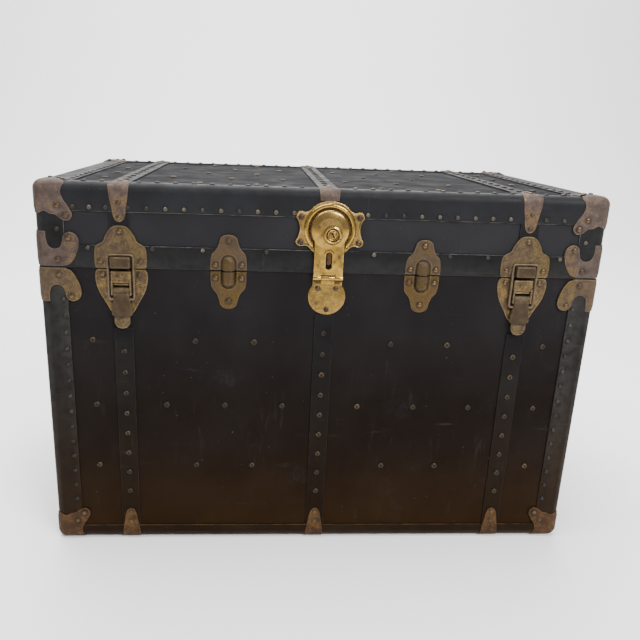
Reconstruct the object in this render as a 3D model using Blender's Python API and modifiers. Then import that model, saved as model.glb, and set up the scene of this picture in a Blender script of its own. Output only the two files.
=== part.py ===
"""Flat-top steamer trunk: boards, fibre trim, stamped hardware, lock, draw bolts, hinges and tray.

Metres, +Z up. The front faces -Y. The origin is on the floor, under the middle of the trunk.
"""
import math

import bmesh
import bpy
from mathutils import Matrix, Vector
from mathutils.geometry import interpolate_bezier

# Fits
GAP = 0.0003            # between pieces that rest on each other
RUN = 0.0003            # round a pin, plug or slide that moves

# Boards
BOX_LENGTH = 0.910      # outer faces of the end boards
BOX_DEPTH = 0.526       # outer faces of the front and back boards
BOARD = 0.012
SEAM_Z = 0.497          # underside of the lid
LID_HEIGHT = 0.1307     # seam to the upper face of the top board
EDGE_RADIUS = 0.010
EDGE_STEPS = 3
RIVET_SIDES = 8
PIN_SIDES = 12
BARREL_SIDES = 16
DISC_SIDES = 24

# Fibre trim
FIBRE = 0.002
CORNER_STRIP = 0.044    # width of the vertical bindings
TOP_DROP = 0.0445       # lid top binding, on the lid's sides
TOP_REACH_END = 0.050   # lid top binding, on the top at the ends
TOP_REACH_FRONT = 0.026  # lid top binding, on the top at front and back
VALANCE = 0.036
BOTTOM_STRIP = 0.025
BAND_WIDTH = 0.031
BAND_INSET = 0.127      # middle of an outer band to the end board's face

# Sheet metal
METAL = 0.0012
CORNER_SIZE = 0.060
CLAMP_WIDTH = 0.066
CLAMP_HEIGHT = 0.055
CLAMP_LIFT = 0.003      # clamp edge to the seam
BAND_CLAMP_WIDTH = 0.033
BAND_CLAMP_DROP = 0.060
BAND_CLAMP_REACH = 0.042
RIVET_RADIUS = 0.0035
RIVET_HEAD = 0.0015
SKID_PROUD = 0.0003     # skids below the metal corners

# Draw bolts
PLATE = 0.0015
KEEPER_WIDTH = 0.081
KEEPER_HEIGHT = 0.068
BASE_WIDTH = 0.083
BASE_HEIGHT = 0.081
BASE_DROP = 0.002       # base plate below the seam
CATCH_LIFT = 0.001
CATCH_DEPTH = 0.0100
CATCH_SIDE = 0.002      # catch to each leg of the bail
BAIL_WIDTH = 0.040
BAIL_REACH = 0.072
WIRE_RADIUS = 0.002
BAIL_BEND = 0.004
BAIL_CLEAR = 0.0007
LEVER_DROP = 0.035      # lever pivot below the seam
LEVER_ARM = 0.015       # pivot to the bail's ends
LEVER_LENGTH = 0.064
LEVER_WIDTH = 0.034
LEVER_NECK = 0.0256
LEVER_THICK = 0.004
PIN_RADIUS = 0.0022
EAR = 0.003
EAR_RISE = 0.004        # ears beyond the pivot
HOUSING_HEIGHT = 0.0195
HOUSING_RISE = 0.002

# Lid locators
DOWEL_INSET = 0.170     # locator to the middle of the outer band
DOWEL_WIDTH = 0.058
DOWEL_UP = 0.058
DOWEL_DOWN = 0.064
DOWEL_BARREL = 0.022
DOWEL_BARREL_UP = 0.024
DOWEL_BARREL_DOWN = 0.028
DOWEL_BARREL_OUT = 0.011
TONGUE_WIDTH = 0.012
TONGUE_THICK = 0.004
TONGUE_REACH = 0.012
TONGUE_CLEAR = 0.0007

# Lock
LOCK_X = 0.0025
LOCK_UP = 0.071         # centre of the round plate, above the seam
LOCK_RADIUS = 0.0445
LOCK_EAR_X = 0.0465
LOCK_EAR_Z = 0.020
LOCK_EAR_RADIUS = 0.008
LOCK_SHOULDER = (0.54, 0.84)  # plate's outline next to an ear, as shares of its radius
RING_RADIUS = 0.0390
RING_SECTION = 0.0045
HASP_HEAD = 0.0315
HASP_WIDTH = 0.049
HASP_THICK = 0.0042
HASP_CLEAR = 0.0010
HASP_AXIS_DROP = 0.008
HASP_AXIS_OUT = 0.00042  # middle of the hinge pin from the hasp's back
HASP_KNUCKLE = 0.0043
KNUCKLE_STEM = 0.0108   # lower plate's stem below the hinge pin
HASP_MIDDLE = 0.022     # length of the middle knuckle
HASP_NOTCH = 0.008      # hasp's notch above the pin, clear of the stem when it hangs open
HASP_PIN = 0.0018
DOME_RISE = 0.0036
DOME_TOP = 0.020
COLLAR_RADIUS = 0.014
COLLAR_RISE = 0.0052
PLUG_RADIUS = 0.009
PLUG_PROUD = 0.0006
PLUG_X = 0.004          # plug, right of the lock's centre
PLUG_DROP = 0.008
KEYWAY_WIDTH = 0.0018
KEYWAY_HEIGHT = 0.009
KEYWAY_DEPTH = 0.003
SLOT_WIDTH = 0.008
SLOT_HEIGHT = 0.026
SLOT_UP = 0.021         # slot centre above the seam
SLIDE_TRAVEL = 0.006
SLIDE_PROUD = 0.001
FLANGE_SIDE = 0.003     # slide flange beyond the button
FLANGE_THICK = 0.0014
LOWER_RADIUS = 0.031
LOWER_DROP = 0.040

# Rear hinges
HINGE_INSET = 0.113     # hinge to the middle of the outer band
HINGE_WIDTH = 0.060
HINGE_LEAF = 0.058
HINGE_THICK = 0.0016
HINGE_KNUCKLE = 0.0042
HINGE_PIN = 0.0020

# End handles
HANDLE_DROP = 0.132     # middle of the handle below the seam
HANDLE_SPAN = 0.190
HANDLE_RISE = 0.034
STRAP_WIDTH = 0.030
STRAP_THICK = 0.008
CAP_LENGTH = 0.040
CAP_WALL = 0.0025
STRAP_BOW = (0.6, 0.7)  # strap's shoulder, as shares of the way to a cap and of the rise

# Tray
TRAY_CLEAR = 0.004
TRAY_HEIGHT = 0.140
TRAY_WALL = 0.008
TRAY_FLOOR = 0.005
TRAY_DROP = 0.008       # tray rim below the seam
LEDGE_WIDTH = 0.014
LEDGE_HEIGHT = 0.018

# Worked out from the sizes above
HALF_L = BOX_LENGTH / 2
HALF_D = BOX_DEPTH / 2
BAND_X = HALF_L - BAND_INSET
DOWEL_X = BAND_X - DOWEL_INSET
HINGE_X = BAND_X - HINGE_INSET
FIBRE_OUT = GAP + FIBRE
METAL_SEAT = FIBRE_OUT + GAP
METAL_OUT = METAL_SEAT + METAL
PLATE_OUT = GAP + PLATE
BASE_Z = METAL_OUT + SKID_PROUD
TOP_Z = SEAM_Z + LID_HEIGHT
MIDDLE_Z = (BASE_Z + TOP_Z) / 2
RIM_Z = SEAM_Z - GAP
FOLD_RADIUS = EDGE_RADIUS + METAL_SEAT
BEYOND = 2 * EDGE_RADIUS
LEVER_OUT = METAL_OUT + WIRE_RADIUS + BAIL_CLEAR
LEVER_Z = SEAM_Z - LEVER_DROP
BAIL_Z = LEVER_Z - LEVER_ARM
HASP_BACK = METAL_OUT + HASP_CLEAR
HASP_OUT = HASP_BACK + HASP_AXIS_OUT
HASP_Z = SEAM_Z - HASP_AXIS_DROP
LOCK_Z = SEAM_Z + LOCK_UP
HINGE_OUT = METAL_SEAT + HINGE_KNUCKLE + RUN
HINGE_Y = HALF_D + HINGE_OUT
HANDLE_Z = SEAM_Z - HANDLE_DROP
TRAY_LOW = SEAM_Z - TRAY_DROP - TRAY_HEIGHT
LEDGE_TOP = TRAY_LOW - GAP
INNER_L = HALF_L - BOARD
INNER_D = HALF_D - BOARD

# Half outlines of the stampings, as shares of half width and of height, with S for a sharp point
KEEPER_HALF = ((0, 1), (0.30, 0.96), (0.55, 0.77), (0.66, 0.625), (0.93, 0.52), (1, 0.38), (1, 0.08),
               (0.95, 0, "S"))
BASE_HALF = ((0.88, 1, "S"), (0.98, 0.94), (1, 0.80), (0.90, 0.57), (0.64, 0.32), (0.38, 0.10), (0, 0))
DOWEL_HALF = ((0, 1), (0.41, 0.93), (0.55, 0.74), (0.69, 0.59), (0.93, 0.45), (1, 0.22), (1, 0.02, "S"))
LEVER_HALF = ((0.75, 0, "S"), (0.75, -0.17, "S"), (1, -0.32), (1, -0.54), (0.76, -0.67), (0.74, -0.84),
              (0.48, -0.96), (0, -1))
# Corner faces, as shares of the corner's size, from the end of one folded edge to the next
CORNER_SIDE = ((0.80, 0, "S"), (0.70, 0.25, "S"), (0.77, 0.46), (0.97, 0.78), (0.83, 1), (0.57, 0.91),
               (0.26, 0.77, "S"), (0, 0.85, "S"))
CORNER_TOP = ((0.80, 0, "S"), (0.75, 0.25, "S"), (0.82, 0.60), (0.72, 0.72), (0.60, 0.82), (0.25, 0.75, "S"),
              (0, 0.80, "S"))
# U-shaped clamp, as shares of its width and height
CLAMP_FACE = ((0, 1, "S"), (0.23, 1, "S"), (0.26, 0.74), (0.42, 0.50), (0.59, 0.72), (0.79, 0.98),
              (1, 0.72), (0.88, 0.25), (0.52, 0, "S"), (0, 0, "S"))
# Band clamp, as shares of its half width and length
BAND_CLAMP_FACE = ((1, 0, "S"), (0.85, 0.34, "S"), (0.64, 0.80), (0, 1), (-0.64, 0.80), (-0.85, 0.34, "S"),
                   (-1, 0, "S"))
SHORT_CLAMP_FACE = ((1, 0, "S"), (0.9, 1, "S"), (-0.9, 1, "S"), (-1, 0, "S"))

for old in list(bpy.data.objects):
    bpy.data.objects.remove(old)
trunk = bpy.data.collections.new("flat_top_steamer_trunk")
bpy.context.scene.collection.children.link(trunk)
bpy.context.view_layer.active_layer_collection = bpy.context.view_layer.layer_collection.children[trunk.name]


def make_material(name, colour, roughness, metallic=0.0):
    material = bpy.data.materials.new(name)
    material.use_nodes = True
    shader = material.node_tree.nodes["Principled BSDF"]
    shader.inputs["Base Color"].default_value = (*colour, 1.0)
    shader.inputs["Roughness"].default_value = roughness
    shader.inputs["Metallic"].default_value = metallic
    return material


BLACK_BOARD = make_material("black_covered_board", (0.030, 0.031, 0.033), 0.42)
BLACK_FIBRE = make_material("black_fibre", (0.024, 0.024, 0.026), 0.45)
WORN_STEEL = make_material("worn_brassed_steel", (0.20, 0.13, 0.075), 0.50, 0.85)
BRASS = make_material("polished_brass", (0.75, 0.52, 0.20), 0.25, 1.0)
DARK_STEEL = make_material("dark_steel", (0.09, 0.08, 0.07), 0.45, 0.9)
LEATHER = make_material("brown_leather", (0.12, 0.06, 0.03), 0.55)
PINE = make_material("pine", (0.55, 0.38, 0.20), 0.65)
TRAY_PAPER = make_material("slate_paper_board", (0.035, 0.045, 0.065), 0.80)


# Building blocks

def bake(piece):
    """Give a piece the mesh that its modifiers make."""
    graph = bpy.context.evaluated_depsgraph_get()
    mesh = bpy.data.meshes.new_from_object(piece.evaluated_get(graph))
    piece.modifiers.clear()
    piece.data = mesh


def boolean(piece, tool, operation):
    """Cut, join or trim a piece by a tool, which is used up."""
    modifier = piece.modifiers.new(operation.lower(), "BOOLEAN")
    modifier.operation = operation
    modifier.object = tool
    bake(piece)
    bpy.data.objects.remove(tool)


def finish(piece, name, material, parent=None, origin=None):
    """Name a piece, give it its material and its place in the tree."""
    piece.name = name
    piece.data.name = name
    piece.data.materials.clear()
    piece.data.materials.append(material)
    if origin is not None:
        piece.data.transform(Matrix.Translation(piece.location - Vector(origin)))
        piece.location = origin
    if parent is not None:
        piece.parent = parent
        piece.matrix_parent_inverse = parent.matrix_world.inverted()
    return piece


def make_box(low, high, bevel=0.0, steps=2):
    low = Vector(low)
    high = Vector(high)
    bpy.ops.mesh.primitive_cube_add(size=1.0, location=(low + high) / 2)
    piece = bpy.context.object
    piece.scale = high - low
    bpy.ops.object.transform_apply(location=False, rotation=False, scale=True)
    if bevel > 0:
        modifier = piece.modifiers.new("rounded_edges", "BEVEL")
        modifier.width = bevel
        modifier.segments = steps
        modifier.limit_method = "NONE"
        bake(piece)
    return piece


def make_front_box(x, low_z, high_z, low_out, high_out):
    """A box on the front, from its two ends in X, in height and in distance from the front board."""
    low = (x[0], -HALF_D - high_out, low_z)
    high = (x[1], -HALF_D - low_out, high_z)
    return make_box(low, high)


def make_rod(centre, radius, length, axis, sides):
    turn = {"X": (0, math.pi / 2, 0), "Y": (math.pi / 2, 0, 0), "Z": (0, 0, 0)}[axis]
    bpy.ops.mesh.primitive_cylinder_add(vertices=sides, radius=radius, depth=length, location=centre,
                                        rotation=turn)
    piece = bpy.context.object
    bpy.ops.object.transform_apply(location=False, rotation=True, scale=True)
    return piece


def smooth_line(points, steps=3, closed=False):
    """A line through points: round at plain ones, straight at those marked sharp."""
    places = [Vector((p[0], p[1], 0)) for p in points]
    sharp = [len(p) > 2 for p in points]
    count = len(points)
    slopes = []
    for i in range(count):
        before = places[i - 1] if closed or i > 0 else places[i]
        after = places[(i + 1) % count] if closed or i < count - 1 else places[i]
        slopes.append(Vector() if sharp[i] else (after - before) / 2)
    line = []
    for i in range(count if closed else count - 1):
        j = (i + 1) % count
        if sharp[i] and sharp[j]:
            line.append(places[i])
            continue
        reach = (places[j] - places[i]).length
        lead = slopes[i].normalized() * reach / 3 if slopes[i].length > 0 else Vector()
        trail = slopes[j].normalized() * reach / 3 if slopes[j].length > 0 else Vector()
        line += interpolate_bezier(places[i], places[i] + lead, places[j] - trail, places[j], steps)[:-1]
    if not closed:
        line.append(places[-1])
    return [(p.x, p.y) for p in line]


def mirror_half(half, width, height):
    """A closed outline from its right half, with its points in shares of half width and height."""
    right = [(p[0] * width / 2, p[1] * height, *p[2:]) for p in half]
    left = [(-p[0], p[1], *p[2:]) for p in reversed(right) if p[0] > 0]
    return smooth_line(right + left, closed=True)


def stamp(faces, thickness, outward, fold=0.0):
    """Sheet metal from flat outlines that share their folded edges, thickened away from the trunk."""
    mesh = bpy.data.meshes.new("stamping")
    bm = bmesh.new()
    for face in faces:
        bm.faces.new([bm.verts.new(p) for p in face])
    bmesh.ops.remove_doubles(bm, verts=bm.verts, dist=1e-5)
    bmesh.ops.recalc_face_normals(bm, faces=bm.faces)
    bm.faces.ensure_lookup_table()
    if bm.faces[0].normal.dot(Vector(outward)) < 0:
        bmesh.ops.reverse_faces(bm, faces=bm.faces)
    bm.to_mesh(mesh)
    bm.free()
    piece = bpy.data.objects.new("stamping", mesh)
    trunk.objects.link(piece)
    if fold > 0:
        folded = piece.modifiers.new("fold", "BEVEL")
        folded.width = fold
        folded.segments = EDGE_STEPS
        folded.limit_method = "ANGLE"
        folded.angle_limit = math.radians(60)
    sheet = piece.modifiers.new("sheet", "SOLIDIFY")
    sheet.thickness = thickness
    sheet.offset = 1.0
    sheet.use_even_offset = True
    bake(piece)
    return piece


def stamp_front(outline, x, z, out, thickness):
    """A flat plate on the front, from an outline about (x, z)."""
    face = [(x + u, -HALF_D - out, z + v) for u, v in outline]
    return stamp([face], thickness, (0, -1, 0))


def make_axis(name, place):
    """An empty on a joint's axis, for the pieces that turn about it."""
    axis = bpy.data.objects.new(name, None)
    axis.location = place
    trunk.objects.link(axis)
    bpy.context.view_layer.update()
    return axis


def make_copy(piece, name, scale):
    copy = piece.copy()
    copy.name = name
    copy.scale = scale
    trunk.objects.link(copy)
    return copy


def hang_on(piece, parent):
    bpy.context.view_layer.update()
    piece.parent = parent
    piece.matrix_parent_inverse = parent.matrix_world.inverted()


# Boards

def rounded_block(grow):
    """The whole trunk's rounded outer shape, grown evenly."""
    low = (-HALF_L - grow, -HALF_D - grow, BASE_Z - grow)
    high = (HALF_L + grow, HALF_D + grow, TOP_Z + grow)
    return make_box(low, high, EDGE_RADIUS + grow, EDGE_STEPS)


def make_board(name, low, high, parent=None):
    piece = rounded_block(0.0)
    boolean(piece, make_box(low, high), "INTERSECT")
    return finish(piece, name, BLACK_BOARD, parent)


def make_body_boards():
    far_l = HALF_L + BEYOND
    far_d = HALF_D + BEYOND
    wall_low = BASE_Z + BOARD + GAP
    between = INNER_D - GAP
    make_board("bottom_board", (-far_l, -far_d, BASE_Z - BEYOND), (far_l, far_d, BASE_Z + BOARD))
    make_board("front_board", (-far_l, -far_d, wall_low), (far_l, -INNER_D, RIM_Z))
    make_board("back_board", (-far_l, INNER_D, wall_low), (far_l, far_d, RIM_Z))
    make_board("left_end_board", (-far_l, -between, wall_low), (-INNER_L, between, RIM_Z))
    make_board("right_end_board", (INNER_L, -between, wall_low), (far_l, between, RIM_Z))


def make_lid_boards(lid_axis):
    far_l = HALF_L + BEYOND
    far_d = HALF_D + BEYOND
    under_top = TOP_Z - BOARD
    make_board("lid_top_board", (-far_l, -far_d, under_top), (far_l, far_d, TOP_Z + BEYOND), lid_axis)
    frame = rounded_block(0.0)
    boolean(frame, make_box((-far_l, -far_d, SEAM_Z), (far_l, far_d, under_top - GAP)), "INTERSECT")
    inside = make_box((-INNER_L, -INNER_D, SEAM_Z - BOARD), (INNER_L, INNER_D, TOP_Z))
    boolean(frame, inside, "DIFFERENCE")
    finish(frame, "lid_frame", BLACK_BOARD, lid_axis)


# Fibre trim

def make_binding(name, low_z, high_z, windows, parent=None):
    """Edge strips, as the trunk's grown outer shape less its inside and the windows between strips."""
    far_l = HALF_L + BEYOND
    far_d = HALF_D + BEYOND
    piece = rounded_block(FIBRE_OUT)
    boolean(piece, make_box((-far_l, -far_d, low_z), (far_l, far_d, high_z)), "INTERSECT")
    boolean(piece, rounded_block(GAP), "DIFFERENCE")
    for low, high in windows:
        boolean(piece, make_box(low, high), "DIFFERENCE")
    return finish(piece, name, BLACK_FIBRE, parent)


def make_bindings(lid_axis):
    far_l = HALF_L + BEYOND
    far_d = HALF_D + BEYOND
    open_l = HALF_L + FIBRE_OUT - CORNER_STRIP
    open_d = HALF_D + FIBRE_OUT - CORNER_STRIP
    lid_low = SEAM_Z + VALANCE
    lid_high = TOP_Z + FIBRE_OUT - TOP_DROP
    top_l = HALF_L - TOP_REACH_END
    top_d = HALF_D - TOP_REACH_FRONT
    lid_windows = (
        ((-open_l, -far_d, lid_low), (open_l, far_d, lid_high)),
        ((-far_l, -open_d, lid_low), (far_l, open_d, lid_high)),
        ((-top_l, -top_d, lid_high), (top_l, top_d, TOP_Z + BEYOND)),
    )
    make_binding("lid_binding", SEAM_Z, TOP_Z + BEYOND, lid_windows, lid_axis)
    body_low = BASE_Z - FIBRE_OUT + BOTTOM_STRIP
    under_l = HALF_L - BOTTOM_STRIP
    under_d = HALF_D - BOTTOM_STRIP
    body_windows = (
        ((-open_l, -far_d, body_low), (open_l, far_d, SEAM_Z + BEYOND)),
        ((-far_l, -open_d, body_low), (far_l, open_d, SEAM_Z + BEYOND)),
        ((-under_l, -under_d, BASE_Z - BEYOND), (under_l, under_d, body_low)),
    )
    make_binding("body_binding", BASE_Z - BEYOND, RIM_Z, body_windows)


def band_clamp(x, edge_z, down, side, reach, shape=BAND_CLAMP_FACE, drop=BAND_CLAMP_DROP):
    """A band's end clamp, folded over the front (side -1) or back (side 1) edge at edge_z."""
    edge_y = side * (HALF_D + METAL_SEAT)
    half = BAND_CLAMP_WIDTH / 2
    face = smooth_line([(p[0] * half, p[1] * drop, *p[2:]) for p in shape])
    flap = smooth_line([(p[0] * half, p[1] * reach, *p[2:]) for p in BAND_CLAMP_FACE])
    front = [(x + u, edge_y, edge_z + down * v) for u, v in face]
    over = [(x + u, edge_y - side * v, edge_z) for u, v in flap]
    return stamp([front, over], METAL, (0, side, 0), FOLD_RADIUS)


def clamp_rivet(x, y, z, axis, way, depth):
    """A rivet that holds a clamp to its band: a shank through both, with its head outside."""
    length = depth + RIVET_HEAD
    shift = Vector((0, way, 0)) if axis == "Y" else Vector((0, 0, way))
    centre = Vector((x, y, z)) + shift * (length / 2)
    return make_rod(centre, RIVET_RADIUS, length, axis, RIVET_SIDES)


def make_lid_band(name, x, lid_axis, under_lock):
    """A band over the lid; under the lock plate its front clamp is short and its front strip is left out."""
    strip_low = SEAM_Z + VALANCE + GAP
    strip_high = TOP_Z + FIBRE_OUT - TOP_DROP - GAP
    top_d = HALF_D - TOP_REACH_FRONT - GAP
    half = BAND_WIDTH / 2
    depth = METAL_OUT - GAP - FIBRE / 2
    rivet_z = (TOP_Z + METAL_SEAT - BAND_CLAMP_DROP + strip_high) / 2
    rivet_y = HALF_D + METAL_SEAT - (BAND_CLAMP_REACH + TOP_REACH_FRONT) / 2
    band = make_box((x - half, -top_d, TOP_Z + GAP), (x + half, top_d, TOP_Z + FIBRE_OUT))
    edge_z = TOP_Z + METAL_SEAT
    for side in (-1, 1):
        if under_lock and side < 0:
            drop = edge_z - LOCK_Z - LOCK_RADIUS - GAP
            clamp = band_clamp(x, edge_z, -1, side, BAND_CLAMP_REACH, SHORT_CLAMP_FACE, drop)
        else:
            clamp = band_clamp(x, edge_z, -1, side, BAND_CLAMP_REACH)
            faces = sorted((side * (HALF_D + GAP), side * (HALF_D + FIBRE_OUT)))
            seat = side * (HALF_D + GAP + FIBRE / 2)
            boolean(clamp, clamp_rivet(x, seat, rivet_z, "Y", side, depth), "UNION")
            strip = make_box((x - half, faces[0], strip_low), (x + half, faces[1], strip_high))
            boolean(clamp, strip, "UNION")
        top_seat = TOP_Z + GAP + FIBRE / 2
        boolean(clamp, clamp_rivet(x, side * rivet_y, top_seat, "Z", 1, depth), "UNION")
        boolean(band, clamp, "UNION")
    finish(band, name, BLACK_FIBRE, lid_axis)


def make_body_band(name, x, front_top):
    """A band down the front and back, with the skid that joins its clamps under the bottom."""
    strip_low = BASE_Z - FIBRE_OUT + BOTTOM_STRIP + GAP
    skid_d = HALF_D - BOTTOM_STRIP - GAP
    half = BAND_WIDTH / 2
    depth = METAL_OUT - GAP - FIBRE / 2
    clamp_top = BASE_Z - METAL_SEAT + BAND_CLAMP_DROP
    rivet_z = (clamp_top + strip_low) / 2
    reach = HALF_D + METAL_SEAT - skid_d + BAND_CLAMP_WIDTH / 2
    band = make_box((x - half, -skid_d, 0), (x + half, skid_d, BASE_Z - GAP))
    for side, strip_top in ((-1, front_top), (1, RIM_Z - CLAMP_LIFT)):
        faces = sorted((side * (HALF_D + GAP), side * (HALF_D + FIBRE_OUT)))
        strip = make_box((x - half, faces[0], strip_low), (x + half, faces[1], strip_top))
        clamp = band_clamp(x, BASE_Z - METAL_SEAT, 1, side, reach)
        seat = side * (HALF_D + GAP + FIBRE / 2)
        boolean(clamp, clamp_rivet(x, seat, rivet_z, "Y", side, depth), "UNION")
        boolean(clamp, strip, "UNION")
        boolean(band, clamp, "UNION")
    finish(band, name, BLACK_FIBRE)


def make_bands(lid_axis):
    latch_foot = LEVER_Z - LEVER_LENGTH - GAP
    lock_foot = SEAM_Z - LOWER_DROP - LOWER_RADIUS - GAP
    for word, x, front_top in (("left", -BAND_X, latch_foot), ("centre", 0.0, lock_foot),
                               ("right", BAND_X, latch_foot)):
        make_lid_band(word + "_lid_band", x, lid_axis, word == "centre")
        make_body_band(word + "_body_band", x, front_top)


# Corners and clamps

def make_corners(lid_axis):
    """Eight alike stamped corners: four on the lid and four under the body."""
    x = HALF_L + METAL_SEAT
    y = -HALF_D - METAL_SEAT
    z = TOP_Z - MIDDLE_Z + METAL_SEAT
    size = CORNER_SIZE
    side = smooth_line([(p[0] * size, p[1] * size, *p[2:]) for p in CORNER_SIDE])
    flat = smooth_line([(p[0] * size, p[1] * size, *p[2:]) for p in CORNER_TOP])
    front = [(x, y, z)] + [(x - u, y, z - v) for u, v in side]
    end = [(x, y, z)] + [(x, y + u, z - v) for u, v in side]
    top = [(x, y, z)] + [(x - u, y + v, z) for u, v in flat]
    pattern = stamp([front, end, top], METAL, (0, -1, 0), FOLD_RADIUS)
    finish(pattern, "corner_pattern", WORN_STEEL)
    for level, parent, up in (("lid", lid_axis, 1), ("bottom", None, -1)):
        for depth, back in (("front", 1), ("back", -1)):
            for hand, across in (("left", -1), ("right", 1)):
                corner = make_copy(pattern, f"{depth}_{hand}_{level}_corner", (across, back, up))
                corner.location = (0, 0, MIDDLE_Z)
                if parent:
                    hang_on(corner, parent)
    bpy.data.objects.remove(pattern)


def make_clamps(lid_axis):
    """Eight alike U-shaped clamps round the vertical edges, above and below the seam."""
    x = HALF_L + METAL_SEAT
    y = -HALF_D - METAL_SEAT
    face = smooth_line([(p[0] * CLAMP_WIDTH, p[1] * CLAMP_HEIGHT, *p[2:]) for p in CLAMP_FACE])
    front = [(x - u, y, CLAMP_LIFT + v) for u, v in face]
    end = [(x, y + u, CLAMP_LIFT + v) for u, v in face]
    pattern = stamp([front, end], METAL, (0, -1, 0), FOLD_RADIUS)
    finish(pattern, "clamp_pattern", WORN_STEEL)
    for level, parent, up in (("lid", lid_axis, 1), ("body", None, -1)):
        for depth, back in (("front", 1), ("back", -1)):
            for hand, across in (("left", -1), ("right", 1)):
                clamp = make_copy(pattern, f"{depth}_{hand}_{level}_clamp", (across, back, up))
                clamp.location = (0, 0, SEAM_Z)
                if parent:
                    hang_on(clamp, parent)
    bpy.data.objects.remove(pattern)


# Draw bolts

def make_keeper(name, x, lid_axis):
    keeper = stamp_front(mirror_half(KEEPER_HALF, KEEPER_WIDTH, KEEPER_HEIGHT), x, SEAM_Z, METAL_SEAT, METAL)
    catch_top = BAIL_Z + BAIL_REACH - WIRE_RADIUS - RUN
    half = BAIL_WIDTH / 2 - WIRE_RADIUS - CATCH_SIDE
    catch = make_front_box((x - half, x + half), SEAM_Z + CATCH_LIFT, catch_top, METAL_SEAT + METAL / 2,
                           METAL_OUT + CATCH_DEPTH)
    boolean(keeper, catch, "UNION")
    finish(keeper, name, WORN_STEEL, lid_axis)


def make_latch_base(name, x):
    low = SEAM_Z - BASE_DROP - BASE_HEIGHT
    base = stamp_front(mirror_half(BASE_HALF, BASE_WIDTH, BASE_HEIGHT), x, low, GAP, PLATE)
    inner = LEVER_NECK / 2 + RUN
    housing_low = SEAM_Z - 2 * BASE_DROP - HOUSING_HEIGHT
    housing = make_front_box((x - inner - EAR, x + inner + EAR), housing_low, SEAM_Z - 2 * BASE_DROP,
                             GAP + PLATE / 2, LEVER_OUT + HOUSING_RISE)
    boolean(base, housing, "UNION")
    for hand in (-1, 1):
        sides = sorted((x + hand * inner, x + hand * (inner + EAR)))
        ear = make_front_box(sides, LEVER_Z - 2 * EAR_RISE, housing_low + EAR_RISE, GAP + PLATE / 2,
                             LEVER_OUT + EAR_RISE)
        boolean(base, ear, "UNION")
    hole = make_rod((x, -HALF_D - LEVER_OUT, LEVER_Z), PIN_RADIUS + RUN, BASE_WIDTH, "X", PIN_SIDES)
    boolean(base, hole, "DIFFERENCE")
    finish(base, name, WORN_STEEL)


def make_lever(name, x):
    barrel_radius = LEVER_OUT - PLATE_OUT - RUN
    outline = mirror_half(LEVER_HALF, LEVER_WIDTH, LEVER_LENGTH)
    lever = stamp_front(outline, x, LEVER_Z, LEVER_OUT, LEVER_THICK)
    pivot = (x, -HALF_D - LEVER_OUT, LEVER_Z)
    boolean(lever, make_rod(pivot, barrel_radius, LEVER_NECK, "X", BARREL_SIDES), "UNION")
    pin_length = LEVER_NECK + 2 * (RUN + EAR)
    boolean(lever, make_rod(pivot, PIN_RADIUS, pin_length, "X", PIN_SIDES), "UNION")
    lug_in = LEVER_NECK / 2 - EAR / 2
    for hand in (-1, 1):
        sides = sorted((x + hand * lug_in, x + hand * (lug_in + EAR)))
        lug = make_front_box(sides, BAIL_Z - 2 * WIRE_RADIUS, BAIL_Z + 2 * WIRE_RADIUS,
                             LEVER_OUT - 2 * WIRE_RADIUS, LEVER_OUT + LEVER_THICK / 2)
        boolean(lever, lug, "UNION")
        socket_length = LEVER_WIDTH
        middle = x + hand * (lug_in - RUN + socket_length / 2)
        socket = make_rod((middle, -HALF_D - LEVER_OUT, BAIL_Z), WIRE_RADIUS + RUN, socket_length, "X",
                          PIN_SIDES)
        boolean(lever, socket, "DIFFERENCE")
    finish(lever, name, WORN_STEEL, None, pivot)
    return lever


def bend(corner, start, turn, radius, steps=4):
    """Points round a bend in the XZ plane, whose arc has its middle at corner."""
    return [(corner[0] + radius * math.cos(start + turn * i / steps),
             corner[1] + radius * math.sin(start + turn * i / steps)) for i in range(steps + 1)]


def make_bail(name, x, lever):
    half = BAIL_WIDTH / 2
    end = LEVER_NECK / 2 - EAR / 2
    foot = 2 * WIRE_RADIUS
    right = [(end, 0)]
    right += bend((half - foot, foot), -math.pi / 2, math.pi / 2, foot)
    right += bend((half - BAIL_BEND, BAIL_REACH - BAIL_BEND), 0, math.pi / 2, BAIL_BEND)
    route = right + [(-u, v) for u, v in reversed(right)]
    curve = bpy.data.curves.new(name, "CURVE")
    curve.dimensions = "3D"
    curve.bevel_depth = WIRE_RADIUS
    curve.bevel_resolution = 1
    curve.use_fill_caps = True
    spline = curve.splines.new("POLY")
    spline.points.add(len(route) - 1)
    for point, (u, v) in zip(spline.points, route):
        point.co = (u, 0, v, 1)
    wire = bpy.data.objects.new(name + "_route", curve)
    trunk.objects.link(wire)
    wire.location = (x, -HALF_D - LEVER_OUT, BAIL_Z)
    graph = bpy.context.evaluated_depsgraph_get()
    mesh = bpy.data.meshes.new_from_object(wire.evaluated_get(graph))
    bm = bmesh.new()
    bm.from_mesh(mesh)
    bmesh.ops.remove_doubles(bm, verts=bm.verts, dist=1e-5)
    bm.to_mesh(mesh)
    bm.free()
    bail = bpy.data.objects.new(name, mesh)
    bail.matrix_world = wire.matrix_world
    trunk.objects.link(bail)
    bpy.data.objects.remove(wire)
    finish(bail, name, WORN_STEEL)
    hang_on(bail, lever)


def make_draw_bolts(lid_axis):
    for hand, x in (("left", -BAND_X), ("right", BAND_X)):
        make_keeper(hand + "_latch_keeper", x, lid_axis)
        make_latch_base(hand + "_latch_base", x)
        lever = make_lever(hand + "_latch_lever", x)
        make_bail(hand + "_latch_bail", x, lever)


# Lid locators

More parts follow.
